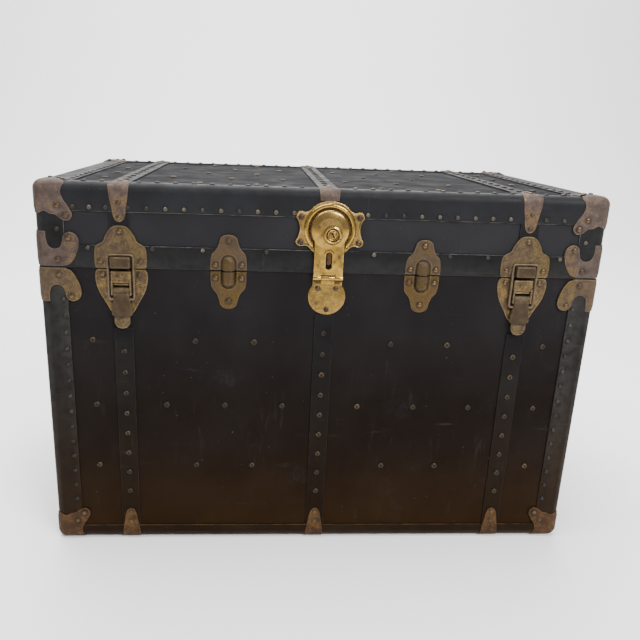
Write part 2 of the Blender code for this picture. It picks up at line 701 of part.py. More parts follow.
def make_dowels(lid_axis):
    half = DOWEL_BARREL / 2
    tongue_low = METAL_SEAT + METAL
    for hand, x in (("left", -DOWEL_X), ("right", DOWEL_X)):
        pin = stamp_front(mirror_half(DOWEL_HALF, DOWEL_WIDTH, DOWEL_UP), x, SEAM_Z, METAL_SEAT, METAL)
        barrel = make_front_box((x - half, x + half), SEAM_Z + GAP, SEAM_Z + DOWEL_BARREL_UP,
                                METAL_SEAT + METAL / 2, DOWEL_BARREL_OUT)
        boolean(pin, barrel, "UNION")
        tongue = make_front_box((x - TONGUE_WIDTH / 2, x + TONGUE_WIDTH / 2), SEAM_Z - TONGUE_REACH,
                                SEAM_Z + TONGUE_REACH / 2, tongue_low, tongue_low + TONGUE_THICK)
        boolean(pin, tongue, "UNION")
        finish(pin, hand + "_dowel_pin", WORN_STEEL, lid_axis)
        outline = mirror_half(DOWEL_HALF, DOWEL_WIDTH, -DOWEL_DOWN)
        socket = stamp_front(outline, x, RIM_Z, GAP, PLATE)
        barrel = make_front_box((x - half, x + half), RIM_Z - DOWEL_BARREL_DOWN, RIM_Z - GAP, GAP + PLATE / 2,
                                DOWEL_BARREL_OUT)
        boolean(socket, barrel, "UNION")
        wide = TONGUE_WIDTH / 2 + TONGUE_CLEAR
        pocket = make_front_box((x - wide, x + wide), SEAM_Z - TONGUE_REACH - TONGUE_CLEAR, SEAM_Z + BOARD,
                                tongue_low - TONGUE_CLEAR, tongue_low + TONGUE_THICK + TONGUE_CLEAR)
        boolean(socket, pocket, "DIFFERENCE")
        finish(socket, hand + "_dowel_socket", WORN_STEEL)


# Lock

def make_lock_plate(lid_axis):
    """A round plate with four riveted ears and a raised ring that is open where the hasp passes."""
    ear_x = LOCK_EAR_X
    ear_z = LOCK_EAR_Z
    tip = LOCK_EAR_RADIUS
    across, up = LOCK_SHOULDER
    quarter = [(0, LOCK_RADIUS), (across * LOCK_RADIUS, up * LOCK_RADIUS), (ear_x - tip, ear_z + tip),
               (ear_x, ear_z + tip), (ear_x + tip, ear_z), (ear_x + tip / 2, ear_z / 2), (ear_x, 0)]
    right = quarter + [(u, -v) for u, v in reversed(quarter[:-1])]
    left = [(-u, v) for u, v in reversed(right[1:-1])]
    plate = stamp_front(smooth_line(right + left, closed=True), LOCK_X, LOCK_Z, METAL_SEAT, METAL)
    middle = METAL_OUT - METAL / 2
    bpy.ops.mesh.primitive_torus_add(major_radius=RING_RADIUS, minor_radius=RING_SECTION, major_segments=28,
                                     minor_segments=8, location=(LOCK_X, -HALF_D - middle, LOCK_Z),
                                     rotation=(math.pi / 2, 0, 0))
    ring = bpy.context.object
    bpy.ops.object.transform_apply(location=False, rotation=True, scale=True)
    far = 2 * LOCK_RADIUS
    outside = make_front_box((LOCK_X - far, LOCK_X + far), LOCK_Z - far, LOCK_Z + far,
                             METAL_SEAT + METAL / 3, METAL_OUT + far)
    boolean(ring, outside, "INTERSECT")
    neck = HASP_WIDTH / 2 + HASP_CLEAR
    way = make_front_box((LOCK_X - neck, LOCK_X + neck), LOCK_Z - far, LOCK_Z, 0, far)
    boolean(ring, way, "DIFFERENCE")
    boolean(plate, ring, "UNION")
    finish(plate, "lock_plate", BRASS, lid_axis)


def keyhole_outline(radius, half_width, foot):
    """A disc on a straight neck that reaches down to foot."""
    start = -math.asin(math.sqrt(1 - (half_width / radius) ** 2))
    turn = math.pi - 2 * start
    arc = bend((0, 0), start, turn, radius, BARREL_SIDES)
    return arc + [(-half_width, foot), (half_width, foot)]


def make_hasp():
    axis = (LOCK_X, -HALF_D - HASP_OUT, HASP_Z)
    front = HASP_BACK + HASP_THICK
    outline = keyhole_outline(HASP_HEAD, HASP_WIDTH / 2, HASP_Z - LOCK_Z)
    hasp = stamp_front(outline, LOCK_X, LOCK_Z, HASP_BACK, HASP_THICK)
    inner = HASP_MIDDLE / 2 + RUN
    notch = make_front_box((LOCK_X - inner, LOCK_X + inner), HASP_Z - HASP_NOTCH, HASP_Z + HASP_NOTCH, 0,
                           2 * front)
    boolean(hasp, notch, "DIFFERENCE")
    dome_depth = DOME_RISE + HASP_THICK / 2
    dome_y = -HALF_D - front - DOME_RISE + dome_depth / 2
    bpy.ops.mesh.primitive_cone_add(vertices=DISC_SIDES, radius1=HASP_HEAD - HASP_CLEAR, radius2=DOME_TOP,
                                    depth=dome_depth, location=(LOCK_X, dome_y, LOCK_Z),
                                    rotation=(math.pi / 2, 0, 0))
    dome = bpy.context.object
    bpy.ops.object.transform_apply(location=False, rotation=True, scale=True)
    boolean(hasp, dome, "UNION")
    plug_x = LOCK_X + PLUG_X
    plug_z = LOCK_Z - PLUG_DROP
    collar_out = front + COLLAR_RISE
    collar_y = -HALF_D - (HASP_BACK + HASP_THICK / 2 + collar_out) / 2
    collar_length = COLLAR_RISE + HASP_THICK / 2
    collar = make_rod((plug_x, collar_y, plug_z), COLLAR_RADIUS, collar_length, "Y", DISC_SIDES)
    boolean(hasp, collar, "UNION")
    length = (HASP_WIDTH - HASP_MIDDLE) / 2 - RUN
    for hand in (-1, 1):
        middle = LOCK_X + hand * (HASP_WIDTH - length) / 2
        boolean(hasp, make_rod((middle, axis[1], HASP_Z), HASP_KNUCKLE, length, "X", BARREL_SIDES), "UNION")
    boolean(hasp, make_rod(axis, HASP_PIN + RUN, 2 * HASP_WIDTH, "X", PIN_SIDES), "DIFFERENCE")
    bore = make_rod((plug_x, -HALF_D - front, plug_z), PLUG_RADIUS + RUN, 4 * collar_out, "Y", DISC_SIDES)
    boolean(hasp, bore, "DIFFERENCE")
    slot_z = SEAM_Z + SLOT_UP
    slot = make_front_box((LOCK_X - SLOT_WIDTH / 2, LOCK_X + SLOT_WIDTH / 2), slot_z - SLOT_HEIGHT / 2,
                          slot_z + SLOT_HEIGHT / 2, 0, 2 * front)
    boolean(hasp, slot, "DIFFERENCE")
    wide = SLOT_WIDTH / 2 + FLANGE_SIDE
    tall = SLOT_HEIGHT / 2 + FLANGE_SIDE
    pocket = make_front_box((LOCK_X - wide, LOCK_X + wide), slot_z - tall, slot_z + tall, 0,
                            HASP_BACK + FLANGE_THICK + 2 * RUN)
    boolean(hasp, pocket, "DIFFERENCE")
    finish(hasp, "hasp", BRASS, None, axis)
    return hasp


def make_plug(hasp):
    """The key cylinder, which turns in the hasp's collar."""
    place = Vector((LOCK_X + PLUG_X, -HALF_D - HASP_BACK, LOCK_Z - PLUG_DROP))
    low = HASP_BACK + RUN
    high = HASP_BACK + HASP_THICK + COLLAR_RISE + PLUG_PROUD
    middle = -HALF_D - (low + high) / 2
    plug = make_rod((place.x, middle, place.z), PLUG_RADIUS, high - low, "Y", DISC_SIDES)
    half = KEYWAY_WIDTH / 2
    tall = KEYWAY_HEIGHT / 2
    keyway = make_front_box((place.x - half, place.x + half), place.z - tall, place.z + tall,
                            high - KEYWAY_DEPTH, high + KEYWAY_DEPTH)
    boolean(plug, keyway, "DIFFERENCE")
    finish(plug, "key_cylinder", BRASS, None, place)
    hang_on(plug, hasp)


def make_slide(hasp):
    """The release button, whose flange runs in a pocket behind the hasp's slot."""
    slot_z = SEAM_Z + SLOT_UP
    half = SLOT_WIDTH / 2 - RUN
    top = slot_z + SLOT_HEIGHT / 2 - RUN
    low = slot_z - SLOT_HEIGHT / 2 + RUN + SLIDE_TRAVEL
    slide = make_front_box((LOCK_X - half, LOCK_X + half), low, top, HASP_BACK + RUN + FLANGE_THICK / 2,
                           HASP_BACK + HASP_THICK + SLIDE_PROUD)
    flange = make_front_box((LOCK_X - half - FLANGE_SIDE, LOCK_X + half + FLANGE_SIDE), low - FLANGE_SIDE,
                            top + FLANGE_SIDE, HASP_BACK + RUN, HASP_BACK + RUN + FLANGE_THICK)
    boolean(slide, flange, "UNION")
    finish(slide, "release_slide", DARK_STEEL)
    hang_on(slide, hasp)


def make_hasp_plate():
    """The lower lock plate, with the middle knuckle and the hinge pin fixed in it."""
    foot = LOWER_DROP - HASP_AXIS_DROP - HASP_KNUCKLE - HASP_CLEAR
    outline = keyhole_outline(LOWER_RADIUS, HASP_WIDTH / 2, -foot)
    turned = [(-u, -v) for u, v in outline]
    plate = stamp_front(turned, LOCK_X, SEAM_Z - LOWER_DROP, GAP, PLATE)
    axis = (LOCK_X, -HALF_D - HASP_OUT, HASP_Z)
    half = HASP_MIDDLE / 2
    stem = make_front_box((LOCK_X - half, LOCK_X + half), HASP_Z - KNUCKLE_STEM, HASP_Z, GAP + PLATE / 2,
                          HASP_OUT)
    boolean(plate, stem, "UNION")
    boolean(plate, make_rod(axis, HASP_KNUCKLE, HASP_MIDDLE, "X", BARREL_SIDES), "UNION")
    boolean(plate, make_rod(axis, HASP_PIN, HASP_WIDTH, "X", PIN_SIDES), "UNION")
    finish(plate, "hasp_plate", BRASS)


def make_lock(lid_axis):
    make_lock_plate(lid_axis)
    make_hasp_plate()
    hasp = make_hasp()
    bpy.context.view_layer.update()
    make_plug(hasp)
    make_slide(hasp)


# Rear hinges

def make_leaf(name, x, seat, knuckles, up, parent=None):
    """A hinge leaf on the back, with its knuckles given by their ends along X."""
    near = HINGE_KNUCKLE + RUN
    ends = sorted((SEAM_Z + up * near, SEAM_Z + up * HINGE_LEAF))
    half = HINGE_WIDTH / 2
    leaf = make_box((x - half, HALF_D + seat, ends[0]), (x + half, HALF_D + seat + HINGE_THICK, ends[1]))
    for start, stop in knuckles:
        lift = sorted((SEAM_Z, SEAM_Z + up * 2 * near))
        stem = make_box((x + start, HALF_D + seat + HINGE_THICK / 3, lift[0]), (x + stop, HINGE_Y, lift[1]))
        boolean(leaf, stem, "UNION")
        middle = x + (start + stop) / 2
        barrel = make_rod((middle, HINGE_Y, SEAM_Z), HINGE_KNUCKLE, stop - start, "X", BARREL_SIDES)
        boolean(leaf, barrel, "UNION")
    bore = make_rod((x, HINGE_Y, SEAM_Z), HINGE_PIN + RUN, 2 * HINGE_WIDTH, "X", PIN_SIDES)
    boolean(leaf, bore, "DIFFERENCE")
    finish(leaf, name, WORN_STEEL, parent)


def make_hinges(lid_axis):
    half = HINGE_WIDTH / 2
    third = HINGE_WIDTH / 6
    for hand, x in (("left", -HINGE_X), ("right", HINGE_X)):
        make_leaf(hand + "_hinge_body_leaf", x, GAP, ((-half, -third - RUN), (third + RUN, half)), -1)
        make_leaf(hand + "_hinge_lid_leaf", x, METAL_SEAT, ((-third, third),), 1, lid_axis)
        pin = make_rod((x, HINGE_Y, SEAM_Z), HINGE_PIN, HINGE_WIDTH, "X", PIN_SIDES)
        finish(pin, hand + "_hinge_pin", DARK_STEEL)


# End handles

def make_handles():
    """A leather strap and its steel plate on each end; the left set mirrors the right."""
    seat = HALF_L + GAP
    floor = seat + METAL
    half_span = HANDLE_SPAN / 2
    half_strap = STRAP_WIDTH / 2
    strap_low = floor + GAP
    mouth = half_span - CAP_LENGTH
    out = STRAP_BOW[0] * mouth
    rise = STRAP_BOW[1] * HANDLE_RISE
    route = smooth_line(((-half_span, 0, "S"), (-mouth, 0, "S"), (-out, rise), (0, HANDLE_RISE), (out, rise),
                         (mouth, 0, "S"), (half_span, 0, "S")), 5)
    curve = bpy.data.curves.new("strap", "CURVE")
    curve.dimensions = "2D"
    curve.fill_mode = "NONE"
    curve.extrude = half_strap
    spline = curve.splines.new("POLY")
    spline.points.add(len(route) - 1)
    for point, (u, v) in zip(spline.points, route):
        point.co = (u, v, 0, 1)
    ribbon = bpy.data.objects.new("strap_ribbon", curve)
    trunk.objects.link(ribbon)
    graph = bpy.context.evaluated_depsgraph_get()
    mesh = bpy.data.meshes.new_from_object(ribbon.evaluated_get(graph))
    middle = strap_low + STRAP_THICK / 2
    mesh.transform(Matrix(((0, 1, 0, middle), (1, 0, 0, 0), (0, 0, 1, HANDLE_Z), (0, 0, 0, 1))))
    bpy.data.objects.remove(ribbon)
    strap = bpy.data.objects.new("right_handle", mesh)
    trunk.objects.link(strap)
    leather = strap.modifiers.new("leather", "SOLIDIFY")
    leather.thickness = STRAP_THICK
    leather.offset = 0.0
    leather.use_even_offset = True
    bake(strap)
    finish(strap, "right_handle", LEATHER)
    reach = half_span + CAP_WALL + GAP
    plate = make_box((seat, -reach, HANDLE_Z - half_strap), (floor, reach, HANDLE_Z + half_strap))
    for side in (-1, 1):
        ends = sorted((side * reach, side * (mouth + CAP_WALL)))
        cap_half = half_strap + GAP + CAP_WALL
        cap_out = strap_low + STRAP_THICK + GAP
        cap = make_box((seat + METAL / 2, ends[0], HANDLE_Z - cap_half),
                       (cap_out + CAP_WALL, ends[1], HANDLE_Z + cap_half))
        inner = sorted((side * (half_span + GAP), 0))
        slot = make_box((floor, inner[0], HANDLE_Z - half_strap - GAP),
                        (cap_out, inner[1], HANDLE_Z + half_strap + GAP))
        boolean(cap, slot, "DIFFERENCE")
        boolean(plate, cap, "UNION")
    finish(plate, "right_handle_plate", WORN_STEEL)
    make_copy(strap, "left_handle", (-1, 1, 1))
    left_plate = make_copy(plate, "left_handle_plate", (-1, 1, 1))
    left_plate.location = (-plate.location.x, plate.location.y, plate.location.z)


# Tray

def make_tray():
    half_l = INNER_L - TRAY_CLEAR
    half_d = INNER_D - TRAY_CLEAR
    top = TRAY_LOW + TRAY_HEIGHT
    tray = make_box((-half_l, -half_d, TRAY_LOW), (half_l, half_d, top))
    hollow = make_box((-half_l + TRAY_WALL, -half_d + TRAY_WALL, TRAY_LOW + TRAY_FLOOR),
                      (half_l - TRAY_WALL, half_d - TRAY_WALL, top + TRAY_HEIGHT))
    boolean(tray, hollow, "DIFFERENCE")
    finish(tray, "tray", TRAY_PAPER, None, (0, 0, TRAY_LOW))
    ledge = make_box((-INNER_L + GAP, -INNER_D + GAP, LEDGE_TOP - LEDGE_HEIGHT),
                     (INNER_L - GAP, INNER_D - GAP, LEDGE_TOP))
    hole = make_box((-INNER_L + LEDGE_WIDTH, -INNER_D + LEDGE_WIDTH, BASE_Z),
                    (INNER_L - LEDGE_WIDTH, INNER_D - LEDGE_WIDTH, SEAM_Z))
    boolean(ledge, hole, "DIFFERENCE")
    finish(ledge, "tray_ledge", PINE)


lid_hinge = make_axis("lid_hinge_axis", (0, HINGE_Y, SEAM_Z))
make_body_boards()
make_lid_boards(lid_hinge)
make_bindings(lid_hinge)
make_bands(lid_hinge)
make_corners(lid_hinge)
make_clamps(lid_hinge)
make_draw_bolts(lid_hinge)
make_dowels(lid_hinge)
make_lock(lid_hinge)
make_hinges(lid_hinge)
make_handles()
make_tray()
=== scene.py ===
"""Looks of the flat-top steamer trunk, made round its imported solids.

Metres, +Z up, the front towards -Y, in the frame of the solids.
"""
import math
import random

import bmesh
import bpy
import numpy as np
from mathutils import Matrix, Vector
from mathutils.geometry import delaunay_2d_cdt, interpolate_bezier


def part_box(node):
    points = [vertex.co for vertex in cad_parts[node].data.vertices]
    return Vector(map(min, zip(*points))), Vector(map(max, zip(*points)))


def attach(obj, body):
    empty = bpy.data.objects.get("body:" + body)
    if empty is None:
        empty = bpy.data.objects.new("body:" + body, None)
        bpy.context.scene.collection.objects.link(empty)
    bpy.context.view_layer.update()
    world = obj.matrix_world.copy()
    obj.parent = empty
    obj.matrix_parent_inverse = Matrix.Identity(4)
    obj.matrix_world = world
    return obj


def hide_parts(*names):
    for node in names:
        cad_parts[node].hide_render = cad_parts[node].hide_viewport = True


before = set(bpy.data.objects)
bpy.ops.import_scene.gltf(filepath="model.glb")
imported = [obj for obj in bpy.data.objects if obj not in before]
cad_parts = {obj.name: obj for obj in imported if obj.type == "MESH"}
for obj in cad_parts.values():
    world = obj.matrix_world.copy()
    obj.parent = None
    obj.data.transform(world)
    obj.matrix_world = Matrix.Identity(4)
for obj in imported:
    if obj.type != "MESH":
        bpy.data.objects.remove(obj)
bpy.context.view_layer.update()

# Places read from the solids
HALF_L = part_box("front_board")[1].x
HALF_D = -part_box("front_board")[0].y
RIM_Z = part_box("front_board")[1].z
SEAM_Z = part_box("lid_frame")[0].z
BASE_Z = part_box("bottom_board")[0].z
TOP_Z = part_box("lid_top_board")[1].z


def middle_x(node):
    low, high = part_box(node)
    return (low.x + high.x) / 2


BAND_X = middle_x("right_body_band")
DOWEL_X = middle_x("right_dowel_pin")
HINGE_X = middle_x("right_hinge_pin")
LOCK_X = middle_x("lock_plate")

# Sizes shared with the solids
GAP = 0.0003
RUN = 0.0003
BOARD = 0.012
EDGE_RADIUS = 0.010
FIBRE_OUT = 0.0023
METAL_SEAT = 0.0026
METAL = 0.0012
METAL_OUT = METAL_SEAT + METAL
PLATE = 0.0015
PLATE_OUT = GAP + PLATE
FOLD_RADIUS = EDGE_RADIUS + METAL_SEAT
CORNER_STRIP = 0.044
TOP_DROP = 0.0445
TOP_REACH_END = 0.050
TOP_REACH_FRONT = 0.026
VALANCE = 0.036
BOTTOM_STRIP = 0.025
BAND_HALF = 0.0155
BAND_STOP = 0.003
CORNER_SIZE = 0.060
CLAMP_WIDTH = 0.066
CLAMP_HEIGHT = 0.055
CLAMP_SEAM = 0.0014
BAND_CLAMP_HALF = 0.0165
BAND_CLAMP_DROP = 0.060
BAND_CLAMP_REACH = 0.042
SKID_CLAMP_REACH = 0.0445
SHORT_CLAMP_DROP = 0.0174
KEEPER = (0.081, 0.068)
CATCH_HALF = 0.016
CATCH_TOP = 0.5167
CATCH_OUT = 0.0138
BASE = (0.083, 0.081)
BASE_LOW = 0.414
HOUSING_HALF = 0.0161
HOUSING = (0.4735, 0.493)
HOUSING_OUT = 0.0085
EAR = 0.003
EAR_OUT = 0.0105
RIB_OUT = 0.0070
LEVER_OUT = 0.0065
LEVER_Z = 0.462
LEVER = (0.034, 0.064)
LEVER_NECK = 0.0128
LEVER_THICK = 0.004
LEVER_BARREL = 0.0044
PIN_RADIUS = 0.0022
BAIL_Z = 0.447
BAIL_REACH = 0.072
BAIL_HALF = 0.020
BAIL_BEND = 0.004
WIRE_RADIUS = 0.002
DOWEL_WIDTH = 0.058
DOWEL_UP = 0.058
DOWEL_DOWN = 0.064
BARREL_HALF = 0.011
BARREL_UP = 0.024
BARREL_DOWN = 0.028
BARREL_OUT = 0.011
TONGUE = (0.006, 0.012, 0.004)
TONGUE_CLEAR = 0.0007
LOCK_Z = 0.568
LOCK_RADIUS = 0.0445
LOCK_EAR = (0.0465, 0.020, 0.008)
LOCK_WAIST = 0.0485
RING_RADIUS = 0.0374
RING_SECTION = 0.0036
HASP_BACK = 0.0048
HASP_THICK = 0.0042
HASP_OUT = 0.00522
HASP_Z = 0.489
HASP_HEAD = 0.0315
HASP_HALF = 0.0245
HASP_NOTCH = 0.005
HASP_PIN = 0.0018
KNUCKLE = 0.0043
KNUCKLE_MIDDLE = 0.011
KNUCKLE_STEM = 0.0108
DOME_RISE = 0.0036
DOME_FOOT = HASP_HEAD - 0.0008
DOME_TOP = 0.020
COLLAR_CREST = 0.0118
COLLAR_RISE = 0.0052
PLUG_RADIUS = 0.009
PLUG_X = 0.004
PLUG_DROP = 0.008
PLUG_PROUD = 0.0006
SLOT = (0.004, 0.013)
SLOT_Z = 0.518
SLIDE_TRAVEL = 0.006
SLIDE_PROUD = 0.001
LOWER_RADIUS = 0.031
LOWER_Z = 0.457
LOWER_NECK = 0.0267
HINGE_HALF = 0.030
HINGE_LEAF = 0.058
HINGE_THICK = 0.0016
HINGE_KNUCKLE = 0.0042
HINGE_Y = HALF_D + 0.0071
HANDLE_Z = 0.365
HANDLE_HALF_SPAN = 0.095
HANDLE_RISE = 0.034
STRAP_HALF = 0.015
STRAP_THICK = 0.008
STRAP_BOW = (0.6, 0.7)
CAP_LENGTH = 0.040
CAP_WALL = 0.0025
TRAY_CLEAR = 0.004
TRAY_LOW = 0.349
TRAY_TOP = 0.489
TRAY_WALL = 0.008
TRAY_FLOOR = 0.005

# Half outlines of the stampings, as shares of half width and of height, with S for a sharp point
KEEPER_HALF = ((0, 1), (0.30, 0.96), (0.55, 0.77), (0.66, 0.625), (0.93, 0.52), (1, 0.38), (1, 0.08),
               (0.95, 0, "S"))
BASE_HALF = ((0.88, 1, "S"), (0.98, 0.94), (1, 0.80), (0.90, 0.57), (0.64, 0.32), (0.38, 0.10), (0, 0))
DOWEL_HALF = ((0, 1), (0.41, 0.93), (0.55, 0.74), (0.69, 0.59), (0.93, 0.45), (1, 0.22), (1, 0.02, "S"))
LEVER_HALF = ((0.75, 0, "S"), (0.76, -0.17), (0.87, -0.38), (0.98, -0.57), (0.94, -0.645), (0.77, -0.675),
              (0.74, -0.84), (0.48, -0.96), (0, -1))
LEAF_HALF = ((1, 0, "S"), (1, 0.62), (0.80, 0.78), (0.52, 0.86), (0.30, 0.98), (0, 1))
CORNER_SIDE = ((0.80, 0, "S"), (0.71, 0.24), (0.76, 0.44), (0.86, 0.60), (0.97, 0.84), (0.86, 1),
               (0.70, 0.97), (0.55, 0.86), (0.41, 0.83), (0.27, 0.765), (0.14, 0.81), (0, 0.85, "S"))
CORNER_TOP = ((0.80, 0, "S"), (0.75, 0.25, "S"), (0.82, 0.60), (0.72, 0.72), (0.60, 0.82), (0.25, 0.75, "S"),
              (0, 0.80, "S"))
CLAMP_FACE = ((0, 1, "S"), (0.24, 1, "S"), (0.25, 0.74), (0.30, 0.57), (0.43, 0.50), (0.56, 0.57),
              (0.61, 0.72), (0.65, 0.90), (0.79, 0.99), (0.95, 0.90), (1, 0.70), (0.93, 0.36), (0.78, 0.08),
              (0.60, 0, "S"), (0, 0, "S"))
BAND_CLAMP_FACE = ((1, 0, "S"), (0.86, 0.36), (0.68, 0.64), (0.58, 0.82), (0.36, 0.95), (0, 1), (-0.36, 0.95),
                   (-0.58, 0.82), (-0.68, 0.64), (-0.86, 0.36), (-1, 0, "S"))
SHORT_CLAMP_FACE = ((1, 0, "S"), (0.9, 1, "S"), (-0.9, 1, "S"), (-1, 0, "S"))
KEYWAY = ((-0.0009, -0.0045), (0.0009, -0.0045), (0.0009, 0.0008), (0.0018, 0.0022), (0.0013, 0.0042),
          (-0.0013, 0.0042), (-0.0018, 0.0022), (-0.0009, 0.0008))

# Rounding of the rims, and fineness of the meshes
METAL_ROUND = 0.0011
PLATE_ROUND = 0.0012
STRIP_ROUND = 0.0005
PIN_ROUND = 0.0004
FOLD_RISE = 0.0008
FOLD_SHOULDER = (0.003, 0.008)
CURVE_STEPS = 7
RIM_STEP = 0.0016
RIM_RINGS = (0.0003, 0.0008, 0.0015)
FOLD_STEP = 0.0024
FINE_STEP = 0.0016
LOCK_STEP = 0.0015
SMOOTH_ANGLE = math.radians(38)
NAIL_SEED = 11
CUBE_FACES = ((0, 1, 3, 2), (4, 6, 7, 5), (0, 4, 5, 1), (2, 3, 7, 6), (0, 2, 6, 4), (1, 5, 7, 3))


# Node trees

SOCKETS = {float: "Float", int: "Int", tuple: "Vector", type(None): "Material", str: "Geometry"}


class Value:
    """One output of a node; arithmetic on it adds nodes to its tree."""

    def __init__(self, tree, socket):
        self.tree = tree
        self.socket = socket

    def math(self, operation, other=0.0, clamp=False):
        return self.tree.add("ShaderNodeMath", {0: self, 1: other}, operation=operation, use_clamp=clamp)

    def __add__(self, other):
        return self.math("ADD", other)

    def __sub__(self, other):
        return self.math("SUBTRACT", other)

    def __rsub__(self, number):
        return self.tree.add("ShaderNodeMath", {0: number, 1: self}, operation="SUBTRACT")

    def __mul__(self, other):
        return self.math("MULTIPLY", other)

    def most(self, other):
        return self.math("MAXIMUM", other)

    def ramp(self, low, high, to_low=0.0, to_high=1.0):
        """The value carried smoothly from one range to another."""
        feeds = enumerate((self, low, high, to_low, to_high))
        return self.tree.add("ShaderNodeMapRange", feeds, interpolation_type="SMOOTHSTEP")

    def blend(self, first, second):
        """A colour between two, with the value as the share of the second."""
        return self.tree.add("ShaderNodeMix", {0: self, 6: first, 7: second}, 2, data_type="RGBA")


class Tree:
    """A node tree being built, with the sockets that are its goal."""

    def __init__(self, tree, goal):
        self.tree = tree
        self.goal = goal

    def feed(self, socket, value):
        if isinstance(value, Value):
            self.tree.links.new(value.socket, socket)
        elif socket.type == "RGBA":
            socket.default_value = (*value, 1.0)
        else:
            socket.default_value = value

    def add(self, kind, feeds=(), output=0, **settings):
        """A new node with its inputs fed, as the value of one of its outputs."""
        node = self.tree.nodes.new(kind)
        for key, value in settings.items():
            setattr(node, key, value)
        for label, value in dict(feeds).items():
            self.feed(node.inputs[label], value)
        return Value(self, node.outputs[output])

    def use(self, group, output=None, **values):
        """One output of a group, or all of them by name."""
        feeds = {label.replace("_", " "): value for label, value in values.items()}
        node = self.add("ShaderNodeGroup", feeds, node_tree=group).socket.node
        outputs = {socket.name: Value(self, socket) for socket in node.outputs}
        return outputs[output] if output else outputs

    def give(self, **values):
        """Feed the tree's goal, with _ for a space in a name."""
        for label, value in values.items():
            self.feed(self.goal[label.replace("_", " ")], value)

    def place(self, stretch=None):
        """Object coordinates, stretched where a stretch is given."""
        place = self.add("ShaderNodeTexCoord", (), "Object")
        if stretch is None:
            return place
        return self.add("ShaderNodeVectorMath", {0: place, 1: stretch}, operation="MULTIPLY")

    def height(self):
        return self.add("ShaderNodeSeparateXYZ", {0: self.place()}, "Z")

    def grain(self, scale, detail=4.0, rough=0.55, seed=0.0, stretch=None):
        feeds = {"Vector": self.place(stretch), "W": seed, "Scale": scale, "Detail": detail}
        feeds["Roughness"] = rough
        return self.add("ShaderNodeTexNoise", feeds, noise_dimensions="4D")

    def wear(self, name):
        return self.add("ShaderNodeAttribute", (), "Fac", attribute_name=name)

    def bump(self, relief, strength, distance):
        feeds = {"Height": relief, "Strength": strength, "Distance": distance}
        return self.add("ShaderNodeBump", feeds, "Normal")

    def random(self, low, high, seed):
        return self.add("FunctionNodeRandomValue", {2: low, 3: high, "Seed": seed}, 1, data_type="FLOAT")


def new_group(name, kind, inputs, outputs):
    """An empty group; the value beside each socket's name tells its kind."""
    group = bpy.data.node_groups.new(name, kind + "NodeTree")
    for way, sockets in (("INPUT", inputs), ("OUTPUT", outputs)):
        for label, value in sockets.items():
            socket_type = "NodeSocket" + SOCKETS[type(value)]
            socket = group.interface.new_socket(label, in_out=way, socket_type=socket_type)
            if value not in (None, ""):
                socket.default_value = value
    tree = Tree(group, group.nodes.new("NodeGroupOutput").inputs)
    tree.given = {socket.name: Value(tree, socket) for socket in group.nodes.new("NodeGroupInput").outputs}
    return tree


def new_finish(name, **plain):
    """A material's tree, with plain values on its shader."""
    material = bpy.data.materials.new(name)
    material.use_nodes = True
    tree = Tree(material.node_tree, material.node_tree.nodes["Principled BSDF"].inputs)
    tree.material = material
    tree.give(**plain)
    return tree


def make_scuffs():
    """Fine streaks in broken patches: Stretch turns grain into streaks."""
    inputs = {"Stretch": (1.0, 1.0, 1.0), "Scale": 90.0, "Spread": 0.5, "Seed": 0.0}
    tree = new_group("scuffs", "Shader", inputs, {"Mask": 0.0})
    given = tree.given
    level = 0.78 - given["Spread"] * 0.25
    streaks = tree.grain(given["Scale"], 5.0, 0.6, given["Seed"], given["Stretch"])
    patches = tree.grain(9.0, 3.0, 0.6, given["Seed"])
    tree.give(Mask=streaks.ramp(level, level + 0.09) * patches.ramp(0.42, 0.66))
    return tree.tree


def make_tarnish():
    """Patches and fine specks of old plating."""
    inputs = {"Patch Scale": 55.0, "Speck Scale": 330.0, "Share": 0.5, "Seed": 0.0}
    tree = new_group("tarnish", "Shader", inputs, {"Plating": 0.0, "Tone": 0.0, "Pits": 0.0})
    given = tree.given
    patches = tree.grain(given["Patch Scale"], 4.0, 0.6, given["Seed"])
    specks = tree.grain(given["Speck Scale"], 3.0, 0.65, given["Seed"])
    level = 0.62 - given["Share"] * 0.32
    mixed = patches * 0.55 + specks * 0.45
    tree.give(Plating=mixed.ramp(level, level + 0.13), Tone=patches.ramp(0.30, 0.70), Pits=specks)
    return tree.tree


def make_mark_mask(name, mark, amount, scale, low, high, least):
    """A mark of the mesh, broken up by grain."""
    tree = new_group(name, "Shader", {"Amount": amount, "Scale": scale}, {"Mask": 0.0})
    broken = tree.grain(tree.given["Scale"], 3.0).ramp(low, high, least, 1.0)
    tree.give(Mask=(tree.wear(mark) * broken).math("MULTIPLY", tree.given["Amount"], True))
    return tree.tree


SCUFFS = make_scuffs()
TARNISH = make_tarnish()
RIM_WEAR = make_mark_mask("rim_wear", "rim", 0.6, 140.0, 0.30, 0.62, 0.25)
# the grime mark holds real dirt and painted shade in hollows, grooves and round raised parts
GRIME_AND_SHADE = make_mark_mask("grime", "grime", 0.8, 160.0, 0.25, 0.60, 0.45)


# Finishes

def by_height(tree, clouds, lowest, levels, shade=1.0):
    """A clouded colour that changes with height, as painted light: the lowest tones, then (low, high, tones)
    going up.
    """
    def clouded(tones):
        return clouds.blend(*([shade * c for c in tone] for tone in tones))
    height = tree.height()
    colour = clouded(lowest)
    for low, high, tones in levels:
        colour = height.ramp(low, high).blend(colour, clouded(tones))
    return colour


def layered(colour, *layers):
    """A colour under layers, each given as its mask and its tone."""
    for mask, tone in layers:
        colour = mask.blend(colour, tone)
    return colour


